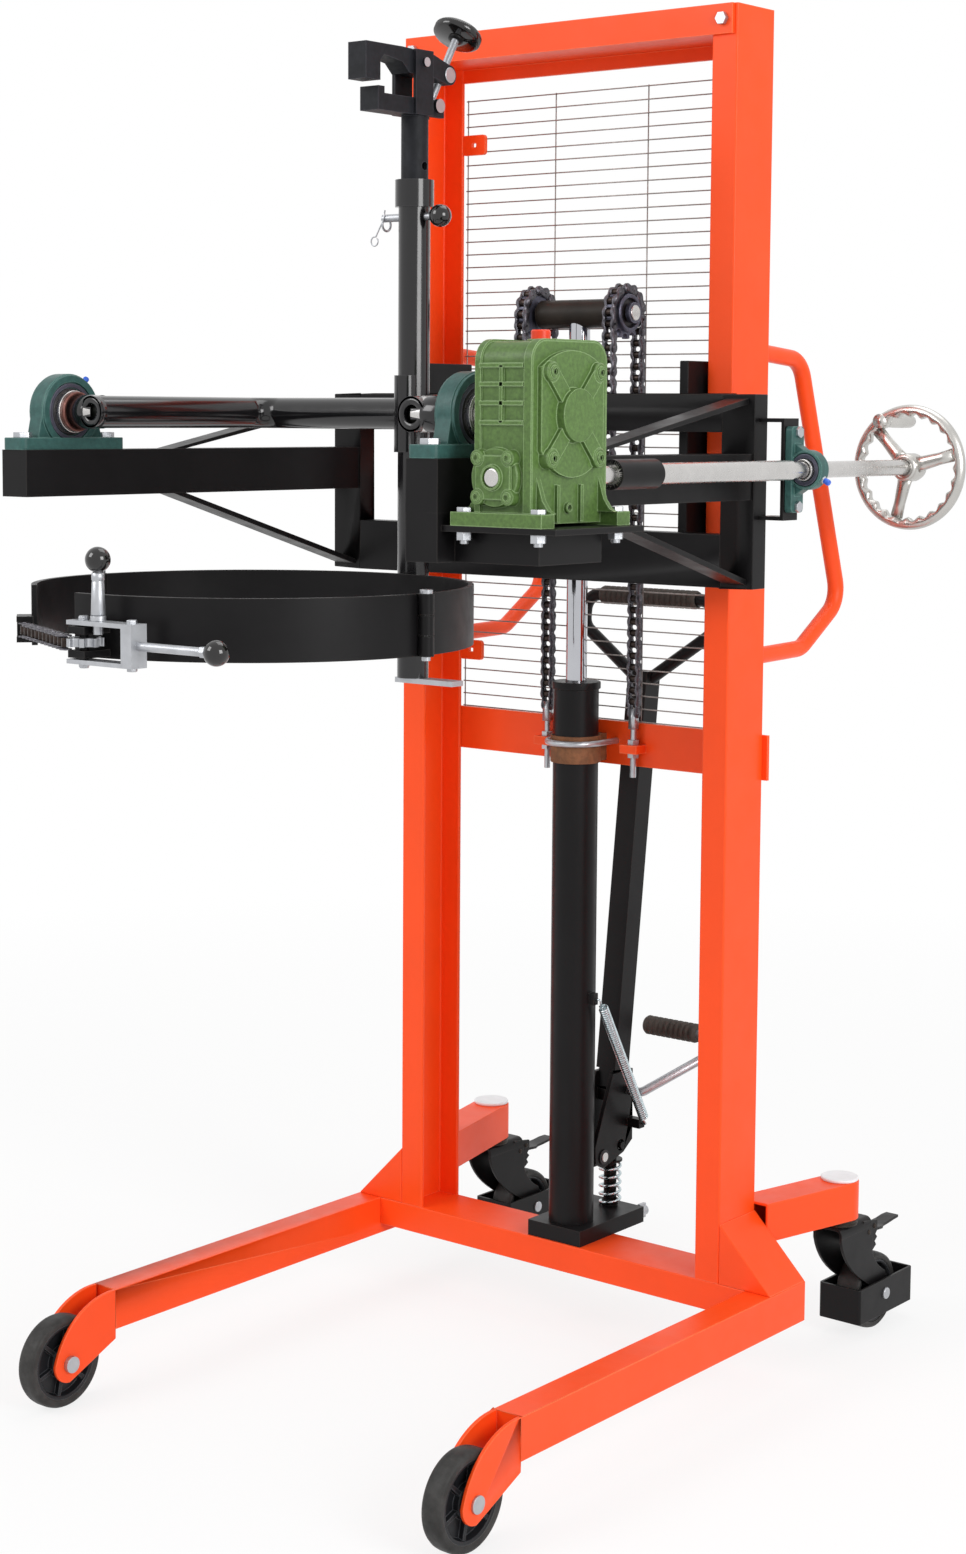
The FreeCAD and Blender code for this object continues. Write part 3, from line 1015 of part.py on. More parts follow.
bolts = []
for side, x in (("l", "-arm_x"), ("r", "arm_x")):
    for n, y in (("a", "tilt_y - block_bolt"), ("b", "tilt_y + block_bolt")):
        bolts.append(stud(f"block_bolt_{side}{n}", "z", "block_bolt_r", "arm_top + block_foot",
                          ("arm_top - arm_wall", "arm_top + block_foot"), (x, y), 1))
for n, x, y in FOOT_BOLTS:
    bolts.append(fuse(
        f"foot_bolt_{n}",
        stud(f"foot_stud_{n}", "z", "foot_bolt_r", "plat_top + foot_t",
             (PLATE_LOW + " - foot_bolt_r * 2.6", "plat_top + foot_t"), (x, y), 1),
        hexagon(f"foot_nut_{n}", "z", "foot_bolt_r * 3.1", (PLATE_LOW + " - foot_bolt_r * 1.8", PLATE_LOW),
                (x, y))))
for n, z in (("a", "worm_z + third_h / 2 - third_edge"), ("b", "worm_z - third_h / 2 + third_edge")):
    bolts.append(stud(f"third_bolt_{n}", "x", "anchor_r", "third_base + third_t",
                      ("third_base - hat_t", "third_base + third_t"), ("third_y", z), 1))
node("carriage_bolts", group("carriage_bolts", *bolts))

CASE_Y = ("case_front", "case_back")
corner = doc.addObject("Part::Fillet", "case_rounded")
case_block = box("case_block", ("case_in", "case_out"), CASE_Y, ("plat_top", "case_top"))
doc.recompute()
corner.Base = case_block
corner.Edges = [(n, size("case_round"), size("case_round"))
                for n, edge in enumerate(case_block.Shape.Edges, start=1)
                if edge.BoundBox.XLength > size("play")
                and edge.BoundBox.ZMin > size("case_top") - size("play")]
cavity_y = ("case_front + case_wall", "case_back - case_wall")
ribs = [box(f"case_rib_{n}", ("case_in", "case_out"), ("case_front - case_rib", "case_front"),
            (f"tilt_z - rib_first + {n} * rib_pitch",
             f"tilt_z - rib_first + rib_t + {n} * rib_pitch")) for n in range(4)]
node("gearbox_case", cut(
    "gearbox_case",
    fuse("case_cast", corner, *ribs,
         box("case_feet_front", FOOT_X, ("plat_front", "case_front + case_wall"),
             ("plat_top", "plat_top + foot_t")),
         box("case_feet_back", FOOT_X, ("case_back - case_wall", "plat_back"),
             ("plat_top", "plat_top + foot_t")),
         rod("case_rear_boss", "y", "worm_r + case_wall", ("case_back", "case_back + case_boss"),
             ("worm_x", "worm_z")),
         rod("case_side_boss", "x", "stub_r + case_boss", ("case_in - case_hub", "case_in"),
             ("tilt_y", "tilt_z"))),
    box("case_cavity", ("case_in + case_wall", "case_out"), cavity_y,
        ("plat_top + case_wall", "case_top - case_wall")),
    rod("case_bore", "x", "stub_r + turn", ("case_in - case_hub", "case_in + case_wall"),
        ("tilt_y", "tilt_z")),
    rod("worm_bore_back", "y", "worm_shaft + turn", ("case_back - case_wall", "case_back + case_boss"),
        ("worm_x", "worm_z")),
    rod("worm_bore_front", "y", "worm_shaft + turn", ("case_front", "case_front + case_wall"),
        ("worm_x", "worm_z")),
    *[rod(f"case_foot_hole_{n}", "z", "foot_bolt_r + fit", ("plat_top", "plat_top + foot_t"), (x, y))
      for n, x, y in FOOT_BOLTS],
))
cover_ribs = []
for n, turn in enumerate((45, 135, 225, 315)):
    rib = doc.addObject("Part::Box", f"cover_rib_{n}")
    rib.Placement = Placement(Vector(), Rotation(RIGHT, turn))
    tie(rib, Length="cover_t + cover_rib", Width="wheel_worm * 1.5", Height="cover_rib_w")
    place(rib, "case_out", "tilt_y", "tilt_z")
    cover_ribs.append(rib)
side_cover = fuse(
    "side_cover", *cover_ribs,
    box("cover_plate", ("case_out", "case_out + cover_t"),
        ("case_front + cover_in", "case_back - cover_in"),
        ("plat_top + foot_t", "case_top - cover_in")),
    rod("cover_boss", "x", "cover_boss_r", ("case_out", "case_out + cover_boss"), ("tilt_y", "tilt_z")),
)
cap_half = "cap_sq / 2"
worm_cap = fuse(
    "worm_cap",
    box("cap_plate", (f"worm_x - {cap_half}", f"worm_x + {cap_half}"), ("case_front - cap_d", "case_front"),
        (f"worm_z - {cap_half}", f"worm_z + {cap_half}")),
    rod("cap_boss", "y", "worm_r", ("case_front - cap_d - cap_rise", "case_front"), ("worm_x", "worm_z")),
)
breather = rod("breather_plug", "z", "plug_r", ("case_top", "case_top + plug_h"),
               ("(case_in + case_out) / 2", "tilt_y"))

node("gearbox_covers", group("gearbox_covers", side_cover, worm_cap, breather))

# drive

worm_shaft = fuse(
    "worm_shaft",
    rod("worm", "y", "worm_r", ("case_front + case_wall + play", "case_back - case_wall - play"),
        ("worm_x", "worm_z")),
    rod("worm_bar", "y", "worm_shaft", ("case_front + gap", "(couple_front + couple_back) / 2 - gap"),
        ("worm_x", "worm_z")),
)
coupling = cut(
    "drive_coupling",
    rod("couple_body", "y", "couple_r", ("couple_front", "couple_back"), ("worm_x", "worm_z")),
    rod("couple_bore_front", "y", "worm_shaft + fit", ("couple_front", "(couple_front + couple_back) / 2"),
        ("worm_x", "worm_z")),
    rod("couple_bore_back", "y", "shaft_r + fit", ("(couple_front + couple_back) / 2", "couple_back"),
        ("worm_x", "worm_z")),
)
bright_shaft = fuse(
    "bright_shaft",
    rod("shaft_thick", "y", "shaft_r", ("(couple_front + couple_back) / 2", "shaft_step"),
        ("worm_x", "worm_z")),
    rod("shaft_thin", "y", "worm_shaft", ("shaft_step", "wheel_y + hand_hub_l / 2"), ("worm_x", "worm_z")),
)

node("drive_shaft", group("drive_shaft", worm_shaft, coupling, bright_shaft))

wheel_centre = Vector(size("worm_x"), size("wheel_y"), size("worm_z"))
rim = Part.makeTorus(size("hand_r"), size("hand_rim"))
hub = Part.makeCylinder(size("hand_hub"), size("hand_hub_l"), Vector(0, 0, -size("hand_hub_l") / 2))
spokes = []
for number in range(3):
    spoke = Part.makeCylinder(size("spoke_r"), size("hand_r"), Vector(), RIGHT)
    spoke.rotate(Vector(), UP, size("spoke_turn") + 120 * number)
    spokes.append(spoke)
crank_turn = math.radians(size("crank_turn"))
crank_spot = Vector(size("hand_r") * math.cos(crank_turn), size("hand_r") * math.sin(crank_turn), 0)
stud_pin = Part.makeCylinder(size("crank_stud"), size("hand_rim") + size("crank_len") + size("stud_end"),
                             crank_spot)
wheel_shape = rim.fuse([hub, stud_pin] + spokes).cut(
    Part.makeCylinder(size("worm_shaft") + size("fit"), size("hand_hub_l"),
                      Vector(0, 0, -size("hand_hub_l") / 2)))
handwheel = made("handwheel", wheel_shape)
FACING = Rotation(RIGHT, -90)
handwheel.Placement = Placement(wheel_centre, FACING)
node("handwheel", handwheel)
grip_start = size("hand_rim") + size("play")
grip_shape = Part.makeCylinder(size("crank_r"), size("crank_len"), crank_spot + UP * grip_start).cut(
    Part.makeCylinder(size("crank_stud") + size("turn"), size("crank_len"), crank_spot + UP * grip_start))
crank_grip = made("crank_grip", grip_shape)
crank_grip.Placement = Placement(wheel_centre, FACING)
node("crank_grip", crank_grip)

# tilt frame

yoke_points = [Vector(size("yoke_x"), y, size("tilt_z")) for y in (size("yoke_front"), size("yoke_back"))]
yoke_wire = bent(yoke_points + [Vector(0, size("yoke_back"), size("tilt_z"))], size("yoke_bend"))
pipe_outer = made("yoke_pipe", tube(yoke_wire, size("pipe_r")))
pipe_inner = made("yoke_core", tube(yoke_wire, size("pipe_bore")))
left_outer, left_inner = mirror("left_yoke_pipe", pipe_outer), mirror("left_yoke_core", pipe_inner)
POST = (0, "yoke_back")
STIFF = (0, "yoke_back - pipe_r * 0.75")
STIFF_Z = ("tilt_z - stiff_half", "tilt_z + stiff_half")
WORM_END = "worm_x + wheel_worm_w / 2 + stub_over"
yoke_tubes = []
for side, pipe, core, ends in (
        ("right", pipe_outer, pipe_inner, ("yoke_x", WORM_END)),
        ("left", left_outer, left_inner, ("-arm_x - block_w / 2 - stub_over", "-yoke_x"))):
    yoke_tubes.append(cut(
        f"{side}_yoke_tube",
        fuse(f"{side}_yoke_weld", pipe, rod(f"{side}_stub", "x", "stub_r", ends, ("tilt_y", "tilt_z"))),
        core,
        rod(f"{side}_post_notch", "z", "pipe_r + fit", ("post_low", "post_top"), POST),
        rod(f"{side}_stiff_notch", "z", "pipe_r * 0.75 + fit", STIFF_Z, STIFF),
    ))
worm_wheel = cut(
    "worm_wheel",
    rod("worm_wheel_disc", "x", "wheel_worm", ("worm_x - wheel_worm_w / 2", "worm_x + wheel_worm_w / 2"),
        ("tilt_y", "tilt_z")),
    rod("worm_wheel_bore", "x", "stub_r + fit", ("worm_x - wheel_worm_w / 2", "worm_x + wheel_worm_w / 2"),
        ("tilt_y", "tilt_z")),
)
post = cut(
    "post",
    fuse("post_weld",
         rod("post_pipe", "z", "pipe_r", ("post_low", "post_top"), POST),
         rod("post_collar", "z", "collar_r", ("post_top", "collar_top"), POST),
         rod("post_stiff", "z", "pipe_r * 0.75", STIFF_Z, STIFF)),
    rod("post_bore", "z", "slip_r + turn", ("post_low", "collar_top"), POST),
    rod("post_lock_hole", "x", "lock_r + turn", ("-pipe_r", "pipe_r"), ("yoke_back", "lock_z")),
)
post_foot = box("post_foot", ("foot_bar_l", "foot_bar_r"),
                ("yoke_back - foot_bar_w / 2", "yoke_back + foot_bar_w / 2"),
                ("post_low - foot_bar_t", "post_low"))

node("yoke_tubes", group("yoke_tubes", worm_wheel, *yoke_tubes))
node("post_tube", group("post_tube", post, post_foot))

# drum ring


def ring_arc(name, start, span):
    """Part of the drum band, angles in degrees from +X."""
    shells = []
    for n, radius in (("outside", "ring_in + ring_t"), ("inside", "ring_in")):
        part = doc.addObject("Part::Cylinder", f"{name}_{n}")
        part.Placement = Placement(Vector(), Rotation(UP, 1))
        tie(part, Radius=radius, Height="ring_h", Angle=f"({span}) * 1 deg",
            Placement__Rotation__Angle=start)
        shells.append(place(part, 0, "tilt_y", "ring_low"))
    return cut(name, *shells)


RING_OUT = "ring_in + ring_t"
RING_TOP = "ring_low + ring_h"
HINGE_X = f"({RING_OUT} + knuckle_r - knuckle_sink)"
THIRDS = [("ring_low", "ring_low + ring_h / 3"), ("ring_low + ring_h / 3", "ring_low + ring_h * 2 / 3"),
          ("ring_low + ring_h * 2 / 3", RING_TOP)]


def hinge(name, radius, sign, third, grow):
    """Round hinge barrel over one third of the band."""
    low, high = THIRDS[third]
    return rod(name, "z", radius, (f"{low} - ({grow})", f"{high} + ({grow})"),
               (f"{sign}{HINGE_X}", "tilt_y"))


SIDES = (("left", "-"), ("right", ""))
rear_knuckles = [hinge(f"{side}_knuckle_{third}", "knuckle_r", sign, third, 0)
                 for side, sign in SIDES for third in (0, 2)]
rear_reliefs = [hinge(f"{side}_rear_relief", "knuckle_r + gap", sign, 1, "gap") for side, sign in SIDES]
pin_holes = [rod(f"{side}_pin_hole", "z", "knuckle_pin + fit", ("ring_low", RING_TOP),
                 (f"{sign}{HINGE_X}", "tilt_y"))
             for side, sign in SIDES]
node("ring_band", cut(
    "ring_band",
    fuse("ring_weld", ring_arc("rear_arc", 0, 180), *rear_knuckles,
         box("ring_bracket", ("-ring_pad / 2", "ring_pad / 2"),
             (f"tilt_y + {RING_OUT} - ring_t / 4", "yoke_back"),
             ("ring_low + ring_t", f"{RING_TOP} - ring_t"))),
    rod("ring_post_notch", "z", "pipe_r + fit", ("post_low", "post_top"), POST),
    rod("ring_inside", "z", "ring_in", ("ring_low", RING_TOP), (0, "tilt_y")),
    *rear_reliefs, *pin_holes,
))
pin = fuse("ring_pin",
           rod("ring_pin_bar", "z", "knuckle_pin", ("ring_low - knuckle_pin", RING_TOP),
               (HINGE_X, "tilt_y")),
           rod("ring_pin_head", "z", "knuckle_pin * 1.5", (RING_TOP, f"{RING_TOP} + knuckle_pin"),
               (HINGE_X, "tilt_y")))
node("ring_pins", pair("ring_pins", pin))


def turned(name, radial, along, heights, degrees):
    """Block set against the band at an angle from +X."""
    block = Part.makeBox(radial[1] - radial[0], along[1] - along[0], heights[1] - heights[0],
                         Vector(radial[0], along[0], heights[0]))
    block.rotate(Vector(), UP, degrees)
    block.translate(BACK * size("tilt_y"))
    return made(name, block)


band_out = size("ring_in") + size("ring_t")
chain_half = size("link_in") + size("link_t")
lug_turn = 180 + size("left_span") - size("lug_step")
lug_z = [size("latch_z") + sign * (chain_half + size("lug_wall")) for sign in (-1, 1)]
slot_z = [size("latch_z") + sign * (chain_half + size("gap")) for sign in (-1, 1)]
chain_lug_arm = turned("ring_lug", (band_out - size("lug_sink"), band_out + size("lug_out")),
                       (0, size("lug_len")), lug_z, lug_turn)
lug_slot = turned("ring_lug_slot", (band_out + size("play"), band_out + size("lug_out") + size("play")),
                  (size("lug_back"), size("lug_len") + size("play")), slot_z, lug_turn)
ARM_CLEAR = {}
for side, sign in SIDES:
    ARM_CLEAR[side] = [hinge(f"{side}_arm_relief_{third}", "knuckle_r + gap", sign, third, "gap")
                       for third in (0, 2)]
    ARM_CLEAR[side].append(rod(f"{side}_arm_bore", "z", "knuckle_pin + turn", ("ring_low", RING_TOP),
                               (f"{sign}{HINGE_X}", "tilt_y")))


def arm_knuckle(side, sign):
    low, high = THIRDS[1]
    return rod(f"{side}_arm_knuckle", "z", "knuckle_r", (low + " + gap", high + " - gap"),
               (f"{sign}{HINGE_X}", "tilt_y"))


node("left_ring_arm", cut(
    "left_ring_arm",
    fuse("left_arm_weld", ring_arc("left_arc", "180 + arc_gap", "left_span"), arm_knuckle("left", "-"),
         chain_lug_arm),
    lug_slot, *ARM_CLEAR["left"],
))

LATCH_Y = f"(tilt_y - ({RING_OUT}) - latch_gap)"
EARS = [("latch_z - ear_in - ear_t", "latch_z - ear_in"), ("latch_z + ear_in", "latch_z + ear_in + ear_t")]
ears = [box(f"latch_ear_{n}", ("latch_x - ear_half", "latch_x + ear_half"),
            (f"{LATCH_Y} - ear_nose", f"tilt_y - ({RING_OUT}) + ring_t / 2"), z)
        for n, z in enumerate(EARS)]
node("right_ring_arm", cut(
    "right_ring_arm",
    fuse("right_arm_weld", ring_arc("right_arc", "-right_span", "right_span - arc_gap"),
         arm_knuckle("right", ""), *ears,
         rod("latch_post", "z", "latch_pin",
             ("latch_z - latch_span / 2 - latch_over", "latch_z + latch_span / 2 + latch_over"),
             ("latch_x", LATCH_Y))),
    *ARM_CLEAR["right"],
))

LATCH_TOP = "latch_z + latch_span / 2"
LATCH_LOW = "latch_z - latch_span / 2"
PLATE_X = ("latch_x - latch_tail", "latch_x + latch_len")
PLATE_Y = (f"{LATCH_Y} - latch_w / 2", f"{LATCH_Y} + latch_w / 2")
BLOCK_X = ("latch_x + latch_len - block_lap", "latch_x + latch_len - block_lap + latch_block")
lever = cut(
    "lever",
    fuse("latch_weld",
         box("latch_plate_up", PLATE_X, PLATE_Y, (LATCH_TOP + " - latch_plate", LATCH_TOP)),
         box("latch_plate_dn", PLATE_X, PLATE_Y, (LATCH_LOW, LATCH_LOW + " + latch_plate")),
         box("latch_block", BLOCK_X, PLATE_Y, (LATCH_LOW, LATCH_TOP)),
         rod("latch_rod", "x", "rod_r", (BLOCK_X[1], "rod_end"), (LATCH_Y, "latch_z"))),
    rod("latch_bore", "z", "latch_pin + turn", (LATCH_LOW, LATCH_TOP), ("latch_x", LATCH_Y)),
    rod("pawl_bore", "z", "pawl_r + turn", (LATCH_TOP + " - latch_plate", LATCH_TOP), ("pawl_x", LATCH_Y)),
)


def ball(name, x, y, z):
    part = doc.addObject("Part::Sphere", name)
    tie(part, Radius="ball_r")
    return place(part, x, y, z)


latch_knob = cut("latch_knob", ball("latch_ball", "rod_end", LATCH_Y, "latch_z"),
                 rod("latch_knob_bore", "x", "rod_r + fit", ("rod_end - ball_r", "rod_end"),
                     (LATCH_Y, "latch_z")))
link_turn = math.radians(lug_turn)
radial = Vector(math.cos(link_turn), math.sin(link_turn), 0)
tangent = Vector(-radial.y, radial.x, 0)
chain_from = BACK * size("tilt_y") + radial * (band_out + size("hook_out")) + tangent * size("hook_at")
chain_from += UP * size("latch_z")
latch_ring = size("chain_pitch") / (2 * math.sin(math.pi / size("latch_teeth")))
latch_centre = Vector(size("latch_x"), size("tilt_y") - band_out - size("latch_gap"), size("latch_z"))
away = chain_from - latch_centre
meet = math.atan2(away.y, away.x) + math.acos(latch_ring / away.Length)
chain_to = latch_centre + Vector(math.cos(meet), math.sin(meet), 0) * latch_ring
chain_drum = sprocket("latch_sprocket", int(size("latch_teeth")), size("latch_pin") + size("turn"),
                      size("sprocket_w"), latch_centre,
                      Rotation(UP, math.degrees(meet) - 180 / size("latch_teeth")))
pawl = fuse(
    "pawl",
    rod("pawl_bar", "z", "pawl_r", ("latch_z + ear_in", "pawl_top"), ("pawl_x", LATCH_Y)),
    rod("pawl_stop", "z", "pawl_r * 1.5", (LATCH_TOP, LATCH_TOP + " + pawl_r"), ("pawl_x", LATCH_Y)),
)
pawl_knob = cut("pawl_knob", ball("pawl_ball", "pawl_x", LATCH_Y, "pawl_top"),
                rod("pawl_knob_bore", "z", "pawl_r + fit", ("pawl_top - ball_r", "pawl_top"),
                    ("pawl_x", LATCH_Y)))

node("latch_lever", group("latch_lever", lever, latch_knob, chain_drum))
node("latch_pawl", group("latch_pawl", pawl, pawl_knob))

chain_line = chain_to - chain_from
ring_chain = chain_strip("ring_chain", 0, 0, 0, chain_line.Length, 0)
along = chain_line / chain_line.Length
ring_chain.Placement = Placement(chain_from, Rotation(UP, along.cross(UP), along, "ZXY"))
node("ring_chain", ring_chain)

# rim clamp

slip_holes = [rod(f"slip_hole_{n}", "x", "lock_r + gap", ("-slip_r", "slip_r"),
                  ("yoke_back", f"lock_z + hole_pitch * ({n})")) for n in range(-4, 3)]
slip_tube = cut(
    "slip_tube",
    rod("slip_bar", "z", "slip_r", ("slip_low", "slip_top"), POST),
    rod("slip_core", "z", "slip_bore", ("slip_low", "slip_top"), POST),
    *slip_holes,
)
CHEEK_X = "jaw_half + cheek_w"
FORK_Y = ("jaw_pin_y + cheek_half", "nut_low_y + nut_r")
BAR_Z = ("low_low", "low_top - low_lip")
lower_jaw = fuse(
    "lower_jaw",
    box("lower_jaw_bar", ("-jaw_half", "jaw_half"), ("low_tip", FORK_Y[0]), BAR_Z),
    box("lower_jaw_lip", ("-jaw_half", "jaw_half"), ("low_tip", "low_tip + low_lip * 1.4"),
        ("low_low", "low_top")),
    box("jaw_cheek_a", ("jaw_half", CHEEK_X), ("jaw_pin_y - cheek_half", "jaw_pin_y + cheek_half"),
        ("low_low", "jaw_pin_z + cheek_over")),
    box("jaw_cheek_b", (f"-({CHEEK_X})", "-jaw_half"),
        ("jaw_pin_y - cheek_half", "jaw_pin_y + cheek_half"),
        ("low_low", "jaw_pin_z + cheek_over")),
    rod("jaw_pin", "x", "jaw_pin", (f"-({CHEEK_X}) - jaw_pin_over", f"{CHEEK_X} + jaw_pin_over"),
        ("jaw_pin_y", "jaw_pin_z")),
)
jaw_fork = fuse(
    "jaw_fork",
    box("fork_bar", ("screw_r * 1.8", "jaw_half"), FORK_Y, BAR_Z),
    rod("fork_boss", "x", "nut_r * 0.7", ("jaw_half - play", "jaw_half + jaw_boss"),
        ("nut_low_y", "nut_low_z")),
)

node("slip_post", group("slip_post", slip_tube, lower_jaw, pair("jaw_forks", jaw_fork)))

nut = Vector(0, size("nut_y"), size("nut_z"))
screw_dir = (nut - Vector(0, size("nut_low_y"), size("nut_low_z"))).normalize()
jaw_waist = size("jaw_pin_z") - size("cheek_over")
jaw_tip, jaw_top, arch = size("up_tip"), size("up_top"), size("up_arch")
pad_end = jaw_tip + size("up_pad")
neck, knee = size("jaw_pin_y") - size("up_neck"), size("jaw_pin_y") + size("up_knee")
jaw_view = [
    (jaw_tip, size("up_low")), (pad_end, size("up_low")), (pad_end, jaw_top - 1.6 * arch),
    (pad_end + arch / 2, jaw_top - arch), (neck, jaw_top - 1.4 * arch), (neck + arch, jaw_waist),
    (knee, jaw_waist), (size("nut_y"), size("nut_z") - size("nut_r")),
    (size("nut_y"), size("nut_z") + size("nut_r")), (knee, jaw_top - arch / 5), (neck, jaw_top),
    (jaw_tip, jaw_top),
]
jaw_x = size("jaw_half") - size("gap")
screw_hole = made("screw_hole", Part.makeCylinder(
    size("screw_r") + size("turn"), 4 * size("nut_r"), nut - screw_dir * 2 * size("nut_r"), screw_dir))
node("upper_jaw", cut(
    "upper_jaw",
    fuse("upper_jaw_weld", plate_x("upper_jaw_bar", (-jaw_x, jaw_x), jaw_view),
         rod("upper_nut", "x", "nut_r", ("gap - jaw_half", "jaw_half - gap"), ("nut_y", "nut_z"))),
    rod("upper_jaw_bore", "x", "jaw_pin + turn", ("-jaw_half", "jaw_half"), ("jaw_pin_y", "jaw_pin_z")),
    screw_hole,
))
screw_low = -(nut - Vector(0, size("nut_low_y"), size("nut_low_z"))).Length - size("screw_tail")
screw_shape = Part.makeCylinder(size("screw_r"), size("screw_top") - screw_low - size("knob_t"),
                                UP * screw_low)
clamp_screw = made("screw_bar", screw_shape)
clamp_screw.Placement = Placement(nut, Rotation(UP, screw_dir))
knob = made("clamp_knob", Part.makeCylinder(size("knob_r"), size("knob_t"),
                                            UP * (size("screw_top") - size("knob_t"))))
knob.Placement = Placement(nut, Rotation(UP, screw_dir))
node("clamp_screw", group("clamp_screw", clamp_screw, knob))

clip = doc.addObject("Part::Torus", "lock_clip")
clip.Placement = Placement(Vector(), ALONG["x"])
tie(clip, Radius1="lock_r * 1.6", Radius2="lock_r * 0.3")
place(clip, "lock_left + lock_r", "yoke_back", "lock_z - lock_r * 1.6")
lock_bar = fuse("lock_rod", clip,
                rod("lock_bar", "x", "lock_r", ("lock_left", "lock_right + ball_r"), ("yoke_back", "lock_z")))
lock_knob = cut("lock_knob", ball("lock_ball", "lock_right + ball_r", "yoke_back", "lock_z"),
                rod("lock_knob_bore", "x", "lock_r + fit", ("lock_right", "lock_right + ball_r"),
                    ("yoke_back", "lock_z")))

node("lock_pin", group("lock_pin", lock_bar, lock_knob))

doc.recompute()
for part in doc.Objects:
    if "Invalid" in part.State or "Error" in part.State:
        raise RuntimeError(f"{part.Label} did not build: {part.State}")

os.makedirs("parts", exist_ok=True)
for part in NODES:
    if part.Shape.isNull() or not part.Shape.isValid() or not part.Shape.Solids:
        raise RuntimeError(f"{part.Label} is not a valid solid")
    part.Shape.exportStep(f"parts/{part.Label}.step")
print(len(NODES), "sub-parts")
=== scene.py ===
"""Looks of the drum tipper: finishes on the construction's nodes and detailed pieces in their places."""
import math

import bmesh
import bpy
from mathutils import Matrix, Vector


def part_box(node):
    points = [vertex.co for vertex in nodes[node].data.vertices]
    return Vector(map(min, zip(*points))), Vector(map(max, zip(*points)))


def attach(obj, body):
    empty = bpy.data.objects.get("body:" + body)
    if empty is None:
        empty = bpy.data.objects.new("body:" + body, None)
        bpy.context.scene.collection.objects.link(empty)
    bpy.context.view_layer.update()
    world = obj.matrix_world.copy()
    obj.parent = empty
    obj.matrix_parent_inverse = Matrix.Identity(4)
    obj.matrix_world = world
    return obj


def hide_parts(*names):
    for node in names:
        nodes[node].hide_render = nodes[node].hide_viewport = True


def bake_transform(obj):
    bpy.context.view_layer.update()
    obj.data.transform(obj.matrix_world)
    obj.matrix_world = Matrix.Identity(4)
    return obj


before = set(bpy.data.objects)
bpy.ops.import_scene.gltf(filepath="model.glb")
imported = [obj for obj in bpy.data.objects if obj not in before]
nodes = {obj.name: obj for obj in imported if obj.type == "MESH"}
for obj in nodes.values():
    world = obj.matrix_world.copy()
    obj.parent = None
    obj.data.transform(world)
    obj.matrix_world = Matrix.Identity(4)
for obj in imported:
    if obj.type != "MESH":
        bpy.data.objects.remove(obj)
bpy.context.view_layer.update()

TURN = 2.0 * math.pi
EDGE_REACH = 0.0025
GRAIN_DEPTH = 0.0006
LEAST = 0.00005
WELD_GAP = 0.00002
FLAT_ANGLE = math.radians(0.5)
SHARP_ANGLE = math.radians(38.0)


def colour(red, green, blue):
    """A display colour of 0 to 255 as the linear colour that shaders take."""
    shares = [value / 255.0 for value in (red, green, blue)]
    return tuple(s / 12.92 if s <= 0.04045 else ((s + 0.055) / 1.055) ** 2.4 for s in shares) + (1.0,)


def settle(node, **values):
    """Sets a node's inputs, named with low lines for spaces."""
    for name, value in values.items():
        node.inputs[name.replace("_", " ")].default_value = value


def noise(tree, where, scale, detail=5.0, rough=0.6):
    """A noise texture over the object's own coordinates."""
    texture = tree.nodes.new("ShaderNodeTexNoise")
    settle(texture, Scale=scale, Detail=detail, Roughness=rough)
    tree.links.new(where, texture.inputs["Vector"])
    return texture.outputs["Fac"]


def ramp(tree, factor, stops):
    """A colour ramp with stops of (place, colour)."""
    node = tree.nodes.new("ShaderNodeValToRGB")
    elements = node.color_ramp.elements
    while len(elements) < len(stops):
        elements.new(0.5)
    for element, (place, tone) in zip(elements, stops):
        element.position = place
        element.color = tone
    tree.links.new(factor, node.inputs["Fac"])
    return node.outputs["Color"]


